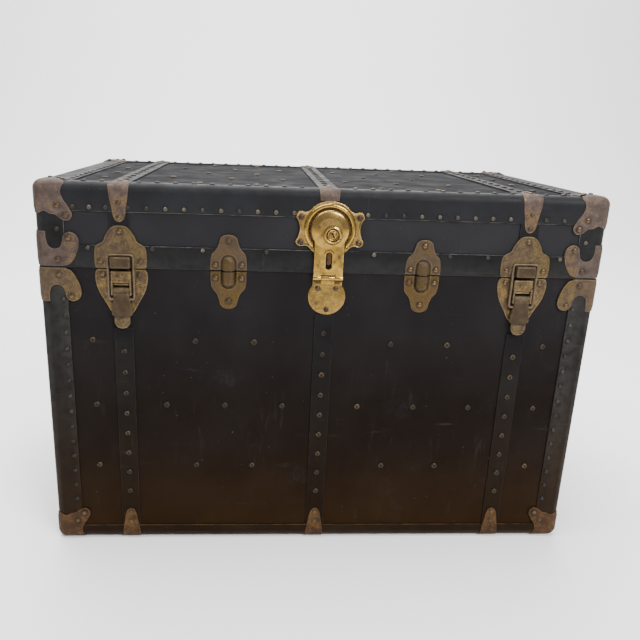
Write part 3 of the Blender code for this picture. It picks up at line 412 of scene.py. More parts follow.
def black_cloth(name, specular, lid_tones):
    """Painted cloth, chalky where rubbed, with bare wood at the seam; its colour changes with height as
    painted light: warmer low down for the floor's bounce, cool above, and the lid in its own tones for the
    light up there.
    """
    tree = new_finish(name, Specular_IOR_Level=specular)
    clouds = tree.grain(6.0, 5.0, 0.6, 2.0).ramp(0.33, 0.70)
    # painted light: the height tones stand in for the floor's warm bounce low down and the light on the lid
    colour = by_height(tree, clouds, ((0.0140, 0.0064, 0.0020), (0.0190, 0.0096, 0.0034)), (
        (0.02, 0.24, ((0.0067, 0.0043, 0.0032), (0.0094, 0.0066, 0.0053))),
        (0.24, 0.45, ((0.0090, 0.0080, 0.0086), (0.0128, 0.0116, 0.0122))),
        (RIM_Z, SEAM_Z, lid_tones)))
    brushed = tree.use(SCUFFS, "Mask", Stretch=(1.0, 1.0, 0.10), Scale=150.0, Spread=0.80, Seed=3.0)
    rubbed = tree.use(SCUFFS, "Mask", Stretch=(0.10, 0.35, 1.0), Scale=60.0, Spread=0.60, Seed=8.0)
    chalk = tree.grain(11.0, 6.0, 0.70, 5.0).ramp(0.55, 0.72)
    chalk = chalk * tree.grain(210.0, 3.0, 0.6, 6.0).ramp(0.40, 0.62)
    specks = tree.grain(330.0, 2.0, 0.5, 9.0).ramp(0.745, 0.77)
    from_seam = (tree.height() - (RIM_Z + SEAM_Z) / 2).math("ABSOLUTE")
    wood = tree.grain(300.0, stretch=(0.2, 0.2, 1.0)).blend((0.05, 0.028, 0.014), (0.11, 0.070, 0.036))
    colour = layered(colour, (brushed * 0.30, (0.026, 0.024, 0.025)), (rubbed * 0.45, (0.036, 0.033, 0.031)),
                     (chalk * 0.38, (0.028, 0.026, 0.033)), (specks * 0.8, (0.22, 0.21, 0.20)),
                     (from_seam.ramp(0.0004, 0.0005, 1.0, 0.0), wood))
    rough = tree.grain(22.0, 5.0).ramp(0.3, 0.7, 0.48, 0.68) + chalk.most(rubbed) * 0.18
    relief = tree.grain(1400.0, 2.0) * 0.25 + tree.grain(26.0, 4.0)
    tree.give(Base_Color=colour, Roughness=rough, Normal=tree.bump(relief, 0.45, 0.0008))
    return tree.material


def black_fibre(name, shade, rubbing):
    """Hard fibre of the bindings and bands, a little glossier than the cloth, rubbed on its edges; warmer low
    down and lighter on the lid as painted light.
    """
    tree = new_finish(name, Specular_IOR_Level=0.05)
    clouds = tree.grain(13.0, 5.0, 0.62, 5.0).ramp(0.32, 0.70)
    # painted light: warm floor bounce in the low tones, lighter tones on the lid
    colour = by_height(tree, clouds, ((0.0100, 0.0046, 0.0016), (0.0150, 0.0080, 0.0032)), (
        (0.05, 0.45, ((0.0074, 0.0072, 0.0076), (0.0118, 0.0114, 0.0118))),
        (0.55, 0.60, ((0.0105, 0.0106, 0.0120), (0.0155, 0.0158, 0.0178)))), shade)
    along_strip = tree.use(SCUFFS, "Mask", Stretch=(0.08, 0.5, 1.0), Scale=120.0, Spread=0.75, Seed=1.0)
    down_strip = tree.use(SCUFFS, "Mask", Stretch=(1.0, 0.6, 0.08), Scale=120.0, Spread=0.75, Seed=4.0)
    specks = tree.grain(380.0, 2.0, 0.5, 4.0).ramp(0.735, 0.77)
    rim = tree.use(RIM_WEAR, "Mask", Amount=rubbing, Scale=75.0)
    colour = layered(colour, (along_strip.most(down_strip) * 0.18, (0.052, 0.050, 0.047)),
                     (specks * 0.7, (0.16, 0.15, 0.13)), (rim, (0.060, 0.057, 0.052)))
    relief = tree.grain(900.0, 2.0) * 0.2 + tree.grain(40.0, 4.0)
    tree.give(Base_Color=colour, Roughness=tree.grain(35.0, 5.0).ramp(0.3, 0.7, 0.38, 0.58),
              Normal=tree.bump(relief, 0.45, 0.0008))
    return tree.material


def worn_edge():
    """Cut edge of the fibre, rubbed to grey in places, most of all near the floor and the seam."""
    tree = new_finish("rubbed_fibre_edge", Specular_IOR_Level=0.10)
    height = tree.height()
    handled = height.ramp(0.045, 0.055, 1.0, 0.12).most(height.ramp(0.520, 0.526, 0.12, 1.0))
    rubbed = tree.grain(48.0, 5.0, 0.65, 7.0).ramp(0.36, 0.64) * handled
    bare = height.ramp(0.05, 0.40).blend((0.075, 0.044, 0.020), (0.105, 0.100, 0.092))
    tree.give(Base_Color=rubbed.blend((0.0070, 0.0064, 0.0064), bare),
              Roughness=rubbed.ramp(0.0, 1.0, 0.42, 0.68))
    return tree.material


def plated_steel(name, browns, platings, share, seed, rim_colour, rough):
    """Brass-plated steel gone brown: plating in patches and specks, dirt and painted shade in the hollows,
    bare rims.
    """
    tree = new_finish(name, Specular_IOR_Level=0.2)
    share = tree.wear("gilt") + (share - 0.5)
    old = tree.use(TARNISH, Patch_Scale=85.0, Speck_Scale=430.0, Share=share, Seed=seed)
    plating, pits = old["Plating"], old["Pits"]
    rim = tree.use(RIM_WEAR, "Mask", Amount=0.75, Scale=190.0)
    # dirt and painted shade: darkest where the mesh lies hollow and round raised parts
    dirt_and_shade = tree.use(GRIME_AND_SHADE, "Mask", Amount=0.9, Scale=160.0)
    colour = layered(old["Tone"].blend(*browns), (plating, pits.ramp(0.35, 0.65).blend(*platings)),
                     (pits.ramp(0.32, 0.41, 0.75, 0.0), (0.018, 0.009, 0.004)), (rim, rim_colour),
                     (dirt_and_shade, (0.010, 0.006, 0.004)))
    shine = plating.ramp(0.0, 1.0, rough + 0.10, rough - 0.08) + pits.ramp(0.3, 0.7, 0.10, -0.08)
    tree.give(Base_Color=colour, Metallic=plating.ramp(0.0, 1.0, 0.30, 0.80), Roughness=shine + dirt_and_shade * 0.25,
              Normal=tree.bump(pits, 0.5, 0.0006))
    return tree.material


def lock_brass():
    """Brass kept bright by hands: paler on the upper hasp as a painted reflection and on the plate's outer
    flange, brown spots, dull olive patches, dirt and painted shade in the hollows.
    """
    tree = new_finish("lock_brass")
    old = tree.use(TARNISH, Patch_Scale=70.0, Speck_Scale=420.0, Share=0.42, Seed=6.0)
    rim = tree.use(RIM_WEAR, "Mask", Amount=0.6, Scale=200.0)
    dirt_and_shade = tree.use(GRIME_AND_SHADE, "Mask", Amount=1.0, Scale=260.0)
    spots = tree.grain(150.0, 4.0, 0.62, 9.0).ramp(0.60, 0.69)
    stains = tree.grain(55.0, 5.0, 0.62, 12.0).ramp(0.48, 0.70)
    # painted reflection: the upper hasp is mixed towards pale brass
    pale_and_sheen = tree.wear("gilt").ramp(0.5, 1.0, 0.0, 0.42)
    colour = old["Tone"].blend((0.228, 0.132, 0.027), (0.368, 0.226, 0.051))
    colour = layered(colour, (pale_and_sheen, (0.30, 0.205, 0.090)), (stains * 0.70, (0.120, 0.078, 0.027)),
                     (spots * 0.80, (0.034, 0.014, 0.004)), (rim, (0.54, 0.37, 0.13)),
                     (dirt_and_shade, (0.016, 0.009, 0.003)))
    rough = old["Tone"].ramp(0.0, 1.0, 0.28, 0.15) + spots.most(stains) * 0.16
    tree.give(Base_Color=colour, Metallic=spots.most(dirt_and_shade).ramp(0.0, 1.0, 1.0, 0.5), Roughness=rough,
              Normal=tree.bump(old["Pits"], 0.15, 0.0004))
    return tree.material


def rubbed_head(name, dark, bright, low=0.35, high=0.95, low_share=1.0):
    """Nail or rivet head: dark round its foot and in its cup, rubbed on its crown, and darker towards the
    bottom of the trunk.
    """
    tree = new_finish(name, Specular_IOR_Level=0.3)
    crown = tree.wear("crown").ramp(low, high) * tree.grain(420.0, 3.0).ramp(0.30, 0.70, 0.5, 1.25)
    rubbed = crown.math("MULTIPLY", tree.wear("tone").ramp(0.0, 1.0, 0.15, 1.20), True)
    rubbed = rubbed * tree.height().ramp(0.02, 0.56, low_share, 1.0)
    tree.give(Base_Color=rubbed.blend(dark, bright), Metallic=rubbed.ramp(0.0, 1.0, 0.45, 0.90),
              Roughness=rubbed.ramp(0.0, 1.0, 0.46, 0.30))
    return tree.material


def strap_leather():
    """Old bridle leather: brown, creased and darkened by hands."""
    tree = new_finish("strap_leather", Specular_IOR_Level=0.35)
    creases = tree.add("ShaderNodeTexVoronoi", {"Vector": tree.place(), "Scale": 650.0}, "Distance",
                       feature="DISTANCE_TO_EDGE")
    clouds = tree.grain(40.0, 5.0)
    colour = clouds.ramp(0.3, 0.7).blend((0.014, 0.0065, 0.0035), (0.055, 0.026, 0.012))
    rim = tree.use(RIM_WEAR, "Mask", Amount=0.7, Scale=220.0)
    tree.give(Base_Color=rim.blend(colour, (0.11, 0.060, 0.030)), Roughness=clouds.ramp(0.3, 0.7, 0.46, 0.66),
              Normal=tree.bump(creases.ramp(0.0, 0.12) + clouds, 0.4, 0.0004))
    return tree.material


def plain_worn(name, dark, light, scale, rough, stretch=None, spots=None, specular=0.4):
    """A matt finish in two tones, with spots where they are given."""
    tree = new_finish(name, Specular_IOR_Level=specular)
    clouds = tree.grain(scale, 5.0, 0.6, stretch=stretch)
    colour = clouds.ramp(0.30, 0.70).blend(dark, light)
    if spots:
        colour = (tree.grain(4 * scale, 4.0, 0.7, 3.0).ramp(0.58, 0.72) * 0.6).blend(colour, spots)
    tree.give(Base_Color=colour, Roughness=clouds.ramp(0.3, 0.7, rough, rough + 0.15),
              Normal=tree.bump(tree.grain(12 * scale, 3.0, stretch=stretch), 0.3, 0.0005))
    return tree.material


CLOTH = black_cloth("black_painted_cloth", 0.035, ((0.0145, 0.0140, 0.0156), (0.0196, 0.0190, 0.0204)))
# The lid top has a darker, less glossy copy of the cloth: painted shade that tones down the strong light on
# the lid top.
SHADED_TOP_CLOTH = black_cloth("black_top_cloth", 0.008, ((0.0104, 0.0101, 0.0112), (0.0141, 0.0137, 0.0147)))
FIBRE = black_fibre("black_hard_fibre", 1.0, 0.7)
BAND_FIBRE = black_fibre("black_band_fibre", 0.78, 0.4)
EDGE = worn_edge()
MAUVE_STEEL = plated_steel(
    "mauve_brown_steel", ((0.046, 0.032, 0.026), (0.085, 0.060, 0.049)),
    ((0.098, 0.060, 0.027), (0.158, 0.102, 0.047)), 0.28, 1.0, (0.145, 0.106, 0.078), 0.54)
GOLD_STEEL = plated_steel(
    "golden_brown_steel", ((0.056, 0.034, 0.0165), (0.095, 0.060, 0.028)),
    ((0.108, 0.070, 0.0245), (0.178, 0.123, 0.047)), 0.50, 2.0, (0.20, 0.148, 0.080), 0.48)
OLIVE_STEEL = plated_steel(
    "olive_brown_steel", ((0.048, 0.031, 0.0195), (0.080, 0.053, 0.0315)),
    ((0.085, 0.057, 0.0230), (0.126, 0.088, 0.0370)), 0.42, 3.0, (0.17, 0.125, 0.072), 0.50)
LEVER_STEEL = plated_steel(
    "dull_lever_steel", ((0.027, 0.0165, 0.0078), (0.049, 0.031, 0.015)),
    ((0.070, 0.049, 0.024), (0.112, 0.081, 0.042)), 0.22, 7.0, (0.14, 0.105, 0.058), 0.46)
DOWEL_STEEL = plated_steel(
    "dowel_brown_steel", ((0.044, 0.029, 0.0175), (0.070, 0.047, 0.0285)),
    ((0.056, 0.034, 0.0122), (0.092, 0.058, 0.0210)), 0.50, 8.0, (0.15, 0.112, 0.066), 0.50)
WIRE_STEEL = plated_steel(
    "bail_wire_steel", ((0.050, 0.034, 0.021), (0.094, 0.065, 0.041)),
    ((0.115, 0.082, 0.042), (0.170, 0.124, 0.068)), 0.40, 4.0, (0.20, 0.150, 0.098), 0.38)
LOW_STEEL = plated_steel(
    "rusted_low_steel", ((0.0285, 0.0138, 0.0052), (0.058, 0.0275, 0.0105)),
    ((0.073, 0.037, 0.0140), (0.108, 0.058, 0.0230)), 0.36, 5.0, (0.105, 0.060, 0.027), 0.56)
BRASS = lock_brass()
NAIL_IRON = rubbed_head("nail_iron", (0.009, 0.0075, 0.0065), (0.150, 0.128, 0.098), low_share=0.5)
STRIP_NAIL = rubbed_head("strip_nail_iron", (0.009, 0.0078, 0.0070), (0.058, 0.052, 0.046), low_share=0.12)
BAND_RIVET = rubbed_head("band_rivet_iron", (0.009, 0.0065, 0.0045), (0.092, 0.061, 0.031), 0.45, 0.74)
FIELD_RIVET = rubbed_head("field_rivet_brass", (0.009, 0.0065, 0.0045), (0.105, 0.070, 0.034), 0.45, 0.74)
FITTING_RIVET = rubbed_head("fitting_rivet_steel", (0.034, 0.021, 0.0115), (0.115, 0.074, 0.038))
LOCK_RIVET = rubbed_head("lock_rivet_copper", (0.020, 0.012, 0.007), (0.072, 0.048, 0.030))
DARK_STEEL = plain_worn("dark_slide_steel", (0.028, 0.013, 0.005), (0.072, 0.036, 0.014), 160.0, 0.40,
                        specular=0.10)
LEATHER = strap_leather()
THREAD = plain_worn("waxed_thread", (0.12, 0.080, 0.045), (0.21, 0.155, 0.095), 400.0, 0.70)
PINE = plain_worn("old_pine", (0.115, 0.062, 0.028), (0.24, 0.150, 0.072), 55.0, 0.60, (0.12, 0.12, 1.0))
SLATE_PAPER = plain_worn("slate_paper", (0.011, 0.015, 0.022), (0.027, 0.034, 0.046), 24.0, 0.70,
                         spots=(0.07, 0.07, 0.07))
GREY_TAPE = plain_worn("grey_cloth_tape", (0.13, 0.13, 0.13), (0.32, 0.32, 0.31), 60.0, 0.80,
                       spots=(0.065, 0.065, 0.065))
LINING = plain_worn("lining_paper", (0.235, 0.180, 0.113), (0.325, 0.265, 0.174), 24.0, 0.75,
                    spots=(0.15, 0.088, 0.042))


# Mesh building blocks

def wide(half, middle=0.0):
    """A range a half width to each side of its middle."""
    return middle - half, middle + half


def span(side, near, far, middle=0.0):
    """A range on one side of a middle."""
    return tuple(sorted((middle + side * near, middle + side * far)))


def smooth_line(points, steps=CURVE_STEPS, closed=False):
    """A line through points: round at plain ones, straight at those marked sharp."""
    places = [Vector((p[0], p[1], 0)) for p in points]
    sharp = [len(p) > 2 for p in points]
    count = len(points)
    leads = []
    for i in range(count):
        before = places[i - 1] if closed or i > 0 else places[i]
        after = places[(i + 1) % count] if closed or i < count - 1 else places[i]
        leads.append(Vector() if sharp[i] else ((after - before) / 2).normalized())
    line = []
    for i in range(count if closed else count - 1):
        j = (i + 1) % count
        if sharp[i] and sharp[j]:
            line.append(places[i])
            continue
        reach = (places[j] - places[i]).length
        lead, trail = leads[i] * reach / 3, leads[j] * reach / 3
        line += interpolate_bezier(places[i], places[i] + lead, places[j] - trail, places[j], steps)[:-1]
    if not closed:
        line.append(places[-1])
    return [(p.x, p.y) for p in line]


def scaled(shape, across, up, foot=0.0):
    return [(p[0] * across, foot + p[1] * up, *p[2:]) for p in shape]


def mirror_half(half, width, height, foot=0.0):
    """A closed outline from its right half, with its points in shares of half width and height."""
    right = scaled(half, width / 2, height, foot)
    left = [(-p[0], *p[1:]) for p in reversed(right) if p[0] > 0]
    return smooth_line(right + left, closed=True)


def arc(x, y, radius, start=0.0, turn=2 * math.pi, steps=44):
    """Points along an arc, with both its ends."""
    angles = [start + turn * i / steps for i in range(steps + 1)]
    return [(x + radius * math.cos(a), y + radius * math.sin(a)) for a in angles]


def capsule(middle, reach, radius):
    """An upright slot with round ends."""
    upper = arc(0, middle + reach, radius, 0.0, math.pi, 16)
    lower = arc(0, middle - reach, radius, math.pi, math.pi, 16)
    return upper[:-1] + lower[:-1]


def along(loop, step):
    """A closed loop with its points no further apart than step."""
    points = []
    for a, b in zip(loop, loop[1:] + loop[:1]):
        way = np.subtract(b, a)
        parts = max(1, math.ceil(np.linalg.norm(way) / step))
        points += [tuple(np.array(a) + way * k / parts) for k in range(parts)]
    return points


def edge_distance(points, start, end):
    """Distance of each point from the nearest of the edges."""
    best = np.full(len(points), np.inf)
    for a, b in zip(start, end):
        way = b - a
        share = np.clip((points - a) @ way / (way @ way), 0, 1)
        best = np.minimum(best, np.linalg.norm(points - a - share[:, None] * way, axis=1))
    return best


def is_inside(points, start, end):
    """Whether each point lies inside the edges, told by how many it crosses."""
    x, y = points[:, 0], points[:, 1]
    inside = np.zeros(len(points), bool)
    for (ax, ay), (bx, by) in zip(start, end):
        if ay != by:
            inside ^= ((ay > y) != (by > y)) & (x < (bx - ax) * (y - ay) / (by - ay) + ax)
    return inside


def fill_plate(loops, spacing, folded=False):
    """Points, triangles and depth from the rim of a plate; a folded one has folds where u or v is nought."""
    loops = [np.array(along(list(loop), RIM_STEP)) for loop in loops]
    start = np.concatenate(loops)
    end = np.concatenate([np.roll(loop, -1, axis=0) for loop in loops])
    on_fold = ((np.abs(start) + np.abs(end)) < 1e-7).any(axis=1) & folded
    free = ~on_fold
    way = end[free] - start[free]
    across = np.column_stack([-way[:, 1], way[:, 0]]) / np.linalg.norm(way, axis=1)[:, None]
    inner = []
    for i, offset in enumerate(RIM_RINGS):
        spots = start[free] + way * (0.5 if i % 2 == 0 else 0.0)
        spots = np.concatenate([spots + across * offset, spots - across * offset])
        spots = spots[is_inside(spots, start, end)]
        inner.append(spots[edge_distance(spots, start, end) > 0.85 * offset])
    low, high = start.min(axis=0), start.max(axis=0)
    rows = np.arange(low[1] + spacing / 2, high[1], spacing * 0.866)
    columns = np.arange(low[0] + spacing / 4, high[0], spacing)
    grid = np.array([(x + (i % 2) * spacing / 2, y) for i, y in enumerate(rows) for x in columns])
    grid = grid[is_inside(grid, start, end)]
    grid = grid[edge_distance(grid, start[free], end[free]) > RIM_RINGS[-1] + 0.4 * spacing]
    grid = grid[edge_distance(grid, start[on_fold], end[on_fold]) > 0.4 * spacing]
    edges, first = [], 0
    for loop in loops:
        edges += [(first + i, first + (i + 1) % len(loop)) for i in range(len(loop))]
        first += len(loop)
    points = [Vector(p) for p in np.concatenate([start, *inner, grid])]
    made = delaunay_2d_cdt(points, edges, [], 0, 1e-7)
    points = np.array([(p.x, p.y) for p in made[0]])
    triangles = np.array([t for t in made[2] if len(t) == 3])
    triangles = triangles[is_inside(points[triangles].mean(axis=1), start, end)]
    return points, triangles, edge_distance(points, start[free], end[free])


def step(low, high, value):
    share = np.clip((value - low) / (high - low), 0, 1)
    return share * share * (3 - 2 * share)


def bell(value, middle, width):
    return np.exp(-((value - middle) / width) ** 2)


def rounded_rim(depth, thick, radius):
    """Height of a plate whose rim is a quarter round above a third of its thickness."""
    share = 1 - np.clip(depth / radius, 0, 1)
    return thick * (0.35 + 0.65 * np.sqrt(np.clip(1 - share * share, 0, 1)))


def rounded_corner(points, axes):
    """Points on a sharp corner at nought drawn in to its rounded one, with their normals."""
    inner = np.where(axes, np.minimum(points, -FOLD_RADIUS), points)
    away = points - inner
    normals = away / np.linalg.norm(away, axis=1)[:, None]
    return inner + normals * FOLD_RADIUS, normals


class Workpiece:
    """Points and faces of one finished piece, gathered before its mesh is made."""

    def __init__(self):
        self.points, self.faces, self.finish = [], [], []
        self.marks = {"grime": [], "gilt": []}

    def add(self, points, faces, finish=0, grime=0.0, gilt=0.5):
        first = len(self.points)
        self.points += [tuple(map(float, p)) for p in points]
        self.faces += [tuple(first + int(i) for i in face) for face in faces]
        self.finish += [finish] * len(faces)
        for label, mark in (("grime", grime), ("gilt", gilt)):
            self.marks[label] += [float(m) for m in np.broadcast_to(mark, len(points))]

    def add_sheet(self, base, normals, triangles, heights, finish=0, grime=0.0, gilt=0.5):
        """A closed sheet: triangles at their heights above the base, the base itself, and its edge."""
        count = len(base)
        top = base + normals * heights[:, None]
        uses = {}
        for a, b, c in triangles:
            for edge in ((a, b), (b, c), (c, a)):
                key = (min(edge), max(edge))
                uses[key] = None if key in uses else edge
        walls = [(b, a, count + a, count + b) for a, b in filter(None, uses.values())]
        faces = [tuple(t) for t in triangles] + [tuple(count + i for i in t[::-1]) for t in triangles] + walls
        grime, gilt = (np.tile(np.broadcast_to(mark, count), 2) for mark in (grime, gilt))
        self.add(np.concatenate([top, base]), faces, finish, grime, gilt)

    def add_plate(self, loops, place, lift, spacing=0.0022, finish=0, grime=None, gilt=None):
        """A pressed plate: loops filled, put in place and raised by lift, with its marks."""
        points, triangles, depth = fill_plate(loops, spacing)
        u, v = points.T
        self.add_sheet(*place(points), triangles, lift(u, v, depth), finish, grime(u, v) if grime else 0.0,
                       gilt(u, v) if gilt else 0.5)

    def add_folded(self, sharp, axes, tip, turn, triangles, depth, rise, shoulder, grime=0.0, gilt=0.5):
        """A sheet folded over the trunk's edges, raised inside its shoulder but flat under the floor."""
        base, normals = rounded_corner(np.array(sharp, float), axes)
        raised = rise * step(*shoulder, depth)
        if turn[2] < 0:
            raised = raised * np.clip(1 - np.maximum(normals[:, 2], 0) * 4, 0, 1)
        heights = rounded_rim(depth, METAL, METAL_ROUND) + raised
        turn = np.array(turn, float)
        self.add_sheet(np.array(tip) + base * turn, normals * turn, triangles, heights, 0, grime, gilt)

    def add_block(self, x, y, z, radius, steps=3, finish=0):
        """A block by its ranges, with rounded edges and faces inset to keep wear to the edges."""
        bm = bmesh.new()
        bmesh.ops.create_cube(bm, size=1.0)
        low, high = (Vector(corner) for corner in zip(x, y, z))
        for vertex in bm.verts:
            vertex.co = [low[i] + (vertex.co[i] + 0.5) * (high[i] - low[i]) for i in range(3)]
        bmesh.ops.bevel(bm, geom=list(bm.edges), offset=radius, segments=steps, profile=0.5, affect="EDGES")
        flats = [face for face in bm.faces if max(abs(c) for c in face.normal) > 0.9999]
        margin = min(0.0012, 0.2 * min(high[i] - low[i] - 2 * radius for i in range(3)))
        if margin > 0.0001:
            bmesh.ops.inset_individual(bm, faces=flats, thickness=margin)
        bm.verts.index_update()
        self.add([v.co for v in bm.verts], [[v.index for v in f.verts] for f in bm.faces], finish)
        bm.free()

    def add_rod(self, start, end, radius, round_end=0.0006, sides=24, finish=0):
        """A round rod with softened ends."""
        start, end = Vector(start), Vector(end)
        axis = (end - start).normalized()
        across = axis.orthogonal().normalized()
        up = axis.cross(across)
        t = round_end / (end - start).length
        third = 0.3 * round_end
        rings = ((0, round_end), (0.3 * t, third), (t, 0), (1 - t, 0), (1 - 0.3 * t, third), (1, round_end))
        points, faces = [start], []
        for share, less in rings:
            angles = (2 * math.pi * i / sides for i in range(sides))
            points += [start.lerp(end, share) + (radius - less) * (across * math.cos(a) + up * math.sin(a))
                       for a in angles]
        points.append(end)
        for i in range(sides):
            j = (i + 1) % sides
            faces.append((0, 1 + j, 1 + i))
            for first in range(1, 1 + (len(rings) - 1) * sides, sides):
                faces.append((first + i, first + j, first + sides + j, first + sides + i))
            last = 1 + (len(rings) - 1) * sides
            faces.append((last + i, last + j, len(points) - 1))
        self.add(points, faces, finish)

    def add_pin(self, x, y, z, radius, *shape):
        """A rod along X, from one end to the other."""
        self.add_rod((x[0], y, z), (x[1], y, z), radius, *shape)

    def to_object(self, name, materials):
        mesh = bpy.data.meshes.new(name)
        mesh.from_pydata(self.points, [], self.faces)
        for label, values in self.marks.items():
            mesh.attributes.new(label, "FLOAT", "POINT").data.foreach_set("value", values)
        mesh.polygons.foreach_set("material_index", self.finish)
        for material in materials:
            mesh.materials.append(material)
        piece = bpy.data.objects.new(name, mesh)
        bpy.context.scene.collection.objects.link(piece)
        return piece

    def hand_over(self, name, materials, body, node=None, slot="worn_steel"):
        settle(self.to_object(name, materials), body, node)


def mark_relief(mesh):
    """Keep how raised each vertex stands as "rim", and add how hollow it lies to the grime mark as painted
    shade in the hollows.
    """
    count = len(mesh.vertices)
    places, normals = np.zeros((count, 3)), np.zeros((count, 3))
    mesh.vertices.foreach_get("co", places.ravel())
    mesh.vertex_normals.foreach_get("vector", normals.ravel())
    edges = np.zeros((len(mesh.edges), 2), int)
    mesh.edges.foreach_get("vertices", edges.ravel())
    first, second = edges.T
    way = places[second] - places[first]
    way = way / np.maximum(np.linalg.norm(way, axis=1), 1e-9)[:, None]
    rise, uses = np.zeros(count), np.zeros(count)
    for here, there in ((first, way), (second, -way)):
        np.add.at(rise, here, (there * normals[here]).sum(axis=1))
        np.add.at(uses, here, 1)
    rise = rise / np.maximum(uses, 1)
    grime = np.zeros(count)
    if "grime" in mesh.attributes:
        mesh.attributes["grime"].data.foreach_get("value", grime)
    else:
        mesh.attributes.new("grime", "FLOAT", "POINT")
    # painted shade: hollows are darkened where shade falls in them
    grime = np.maximum(grime, np.clip((rise - 0.04) / 0.25, 0, 1))
    mesh.attributes["grime"].data.foreach_set("value", grime)
    rim = np.clip((-rise - 0.04) / 0.25, 0, 1)
    mesh.attributes.new("rim", "FLOAT", "POINT").data.foreach_set("value", rim)


def near_box(u, v, half, low, high, reach):
    """Painted shade that fades out over a reach from the sides of a box that stands on a plate."""
    away = np.hypot(np.maximum(np.abs(u) - half, 0), np.maximum(np.maximum(low - v, v - high), 0))
    return 1 - step(0, reach, away)


def round_rivets(u, v, rivets):
    """Dirt and painted shade in a ring round the foot of each rivet of a plate."""
    return 0.65 * np.max([bell(np.hypot(u - a, v - b), 0.0052, 0.0012) for a, b in rivets], axis=0)


def stained(u, v, stains):
    """Stains given as (u, v, reach, strength)."""
    return np.max([strength * np.exp(-((u - a) ** 2 + (v - b) ** 2) / reach ** 2)
                   for a, b, reach, strength in stains], axis=0)


def settle(piece, body, node=None):
    """Smooth a finished piece and hand it to its body, in place of a node where one is given."""
    mesh = piece.data
    bm = bmesh.new()
    bm.from_mesh(mesh)
    bmesh.ops.recalc_face_normals(bm, faces=bm.faces)
    bm.to_mesh(mesh)
    bm.free()
    mesh.shade_smooth()
    mesh.set_sharp_from_angle(angle=SMOOTH_ANGLE)
    mark_relief(mesh)
    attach(piece, body)
    if node:
        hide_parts(node)


def bake(piece):
    """Apply a piece's modifiers."""
    graph = bpy.context.evaluated_depsgraph_get()
    mesh = bpy.data.meshes.new_from_object(piece.evaluated_get(graph))
    old = piece.data
    piece.modifiers.clear()
    piece.data = mesh
    bpy.data.meshes.remove(old)


def carve(piece, tool, operation="DIFFERENCE"):
    """Cut one object by another, which is used up."""
    cut = piece.modifiers.new("cut", "BOOLEAN")
    cut.object = tool
    cut.operation = operation
    cut.solver = "EXACT"
    bake(piece)
    bpy.data.objects.remove(tool)


def soften(piece, width):
    """Round the sharp edges of a piece and give them its second material."""
    bevel = piece.modifiers.new("soften", "BEVEL")
    bevel.width = width
    bevel.segments = 2
    bevel.limit_method = "ANGLE"
    bevel.angle_limit = math.radians(50)
    bevel.material = 1
    bake(piece)


def block_object(x, y, z, radius=0.0, steps=3):
    """A block of its own, sharp where no radius is given."""
    work = Workpiece()
    if radius:
        work.add_block(x, y, z, radius, steps)
    else:
        work.add([(a, b, c) for a in x for b in y for c in z], CUBE_FACES)
    return work.to_object("block", ())


def on_front(x, z, out):
    """Ranges of a block on the front, from those along X, along Z and outward."""
    return x, (-HALF_D - out[1], -HALF_D - out[0]), z


def on_plane(x, z, level, facing, turned=False):
    """Place for plates on an upright plane at a level along Y, or along X where it is turned."""
    order = (1, 0, 2) if turned else (0, 1, 2)

    def place(points):
        count = len(points)
        base = np.column_stack([x + points[:, 0], np.full(count, level), z + points[:, 1]])
        return base[:, order], np.tile((0.0, float(facing), 0.0), (count, 1))[:, order]
    return place


def on_wall(x, z, out, side=-1):
    """Place for plates that lie on the front (side -1) or the back (side 1)."""
    return on_plane(x, z, side * (HALF_D + out), side)


# Heads of nails and rivets

HEADS = {}


def drive(body, kind, place, out):
    HEADS.setdefault((body, kind), []).append((place, out))


def drive_front(body, kind, x, z, out, side=-1):
    drive(body, kind, (x, side * (HALF_D + out), z), (0, side, 0))


def drive_end(body, kind, y, z, out, side):
    drive(body, kind, (side * (HALF_L + out), y, z), (side, 0, 0))


def drive_top(kind, x, y, out):
    drive("lid", kind, (x, y, TOP_Z + out), (0, 0, 1))


def drive_rivets(body, x, rivets, out, kind="fitting", side=-1):
    for u, z in rivets:
        drive_front(body, kind, x + u, z, out, side)


def spaced(low, high, gap):
    """Even places from low to high, about a gap apart."""
    count = max(1, round((high - low) / gap))
    return [low + (high - low) * i / count for i in range(count + 1)]


def close_tree(tree, geometry):
    """End a geometry tree: instances made real, in their finish."""
    real = tree.add("GeometryNodeRealizeInstances", {"Geometry": geometry})
    feeds = {"Geometry": real, "Material": tree.given["Finish"]}
    tree.give(Geometry=tree.add("GeometryNodeSetMaterial", feeds))
    return tree.tree


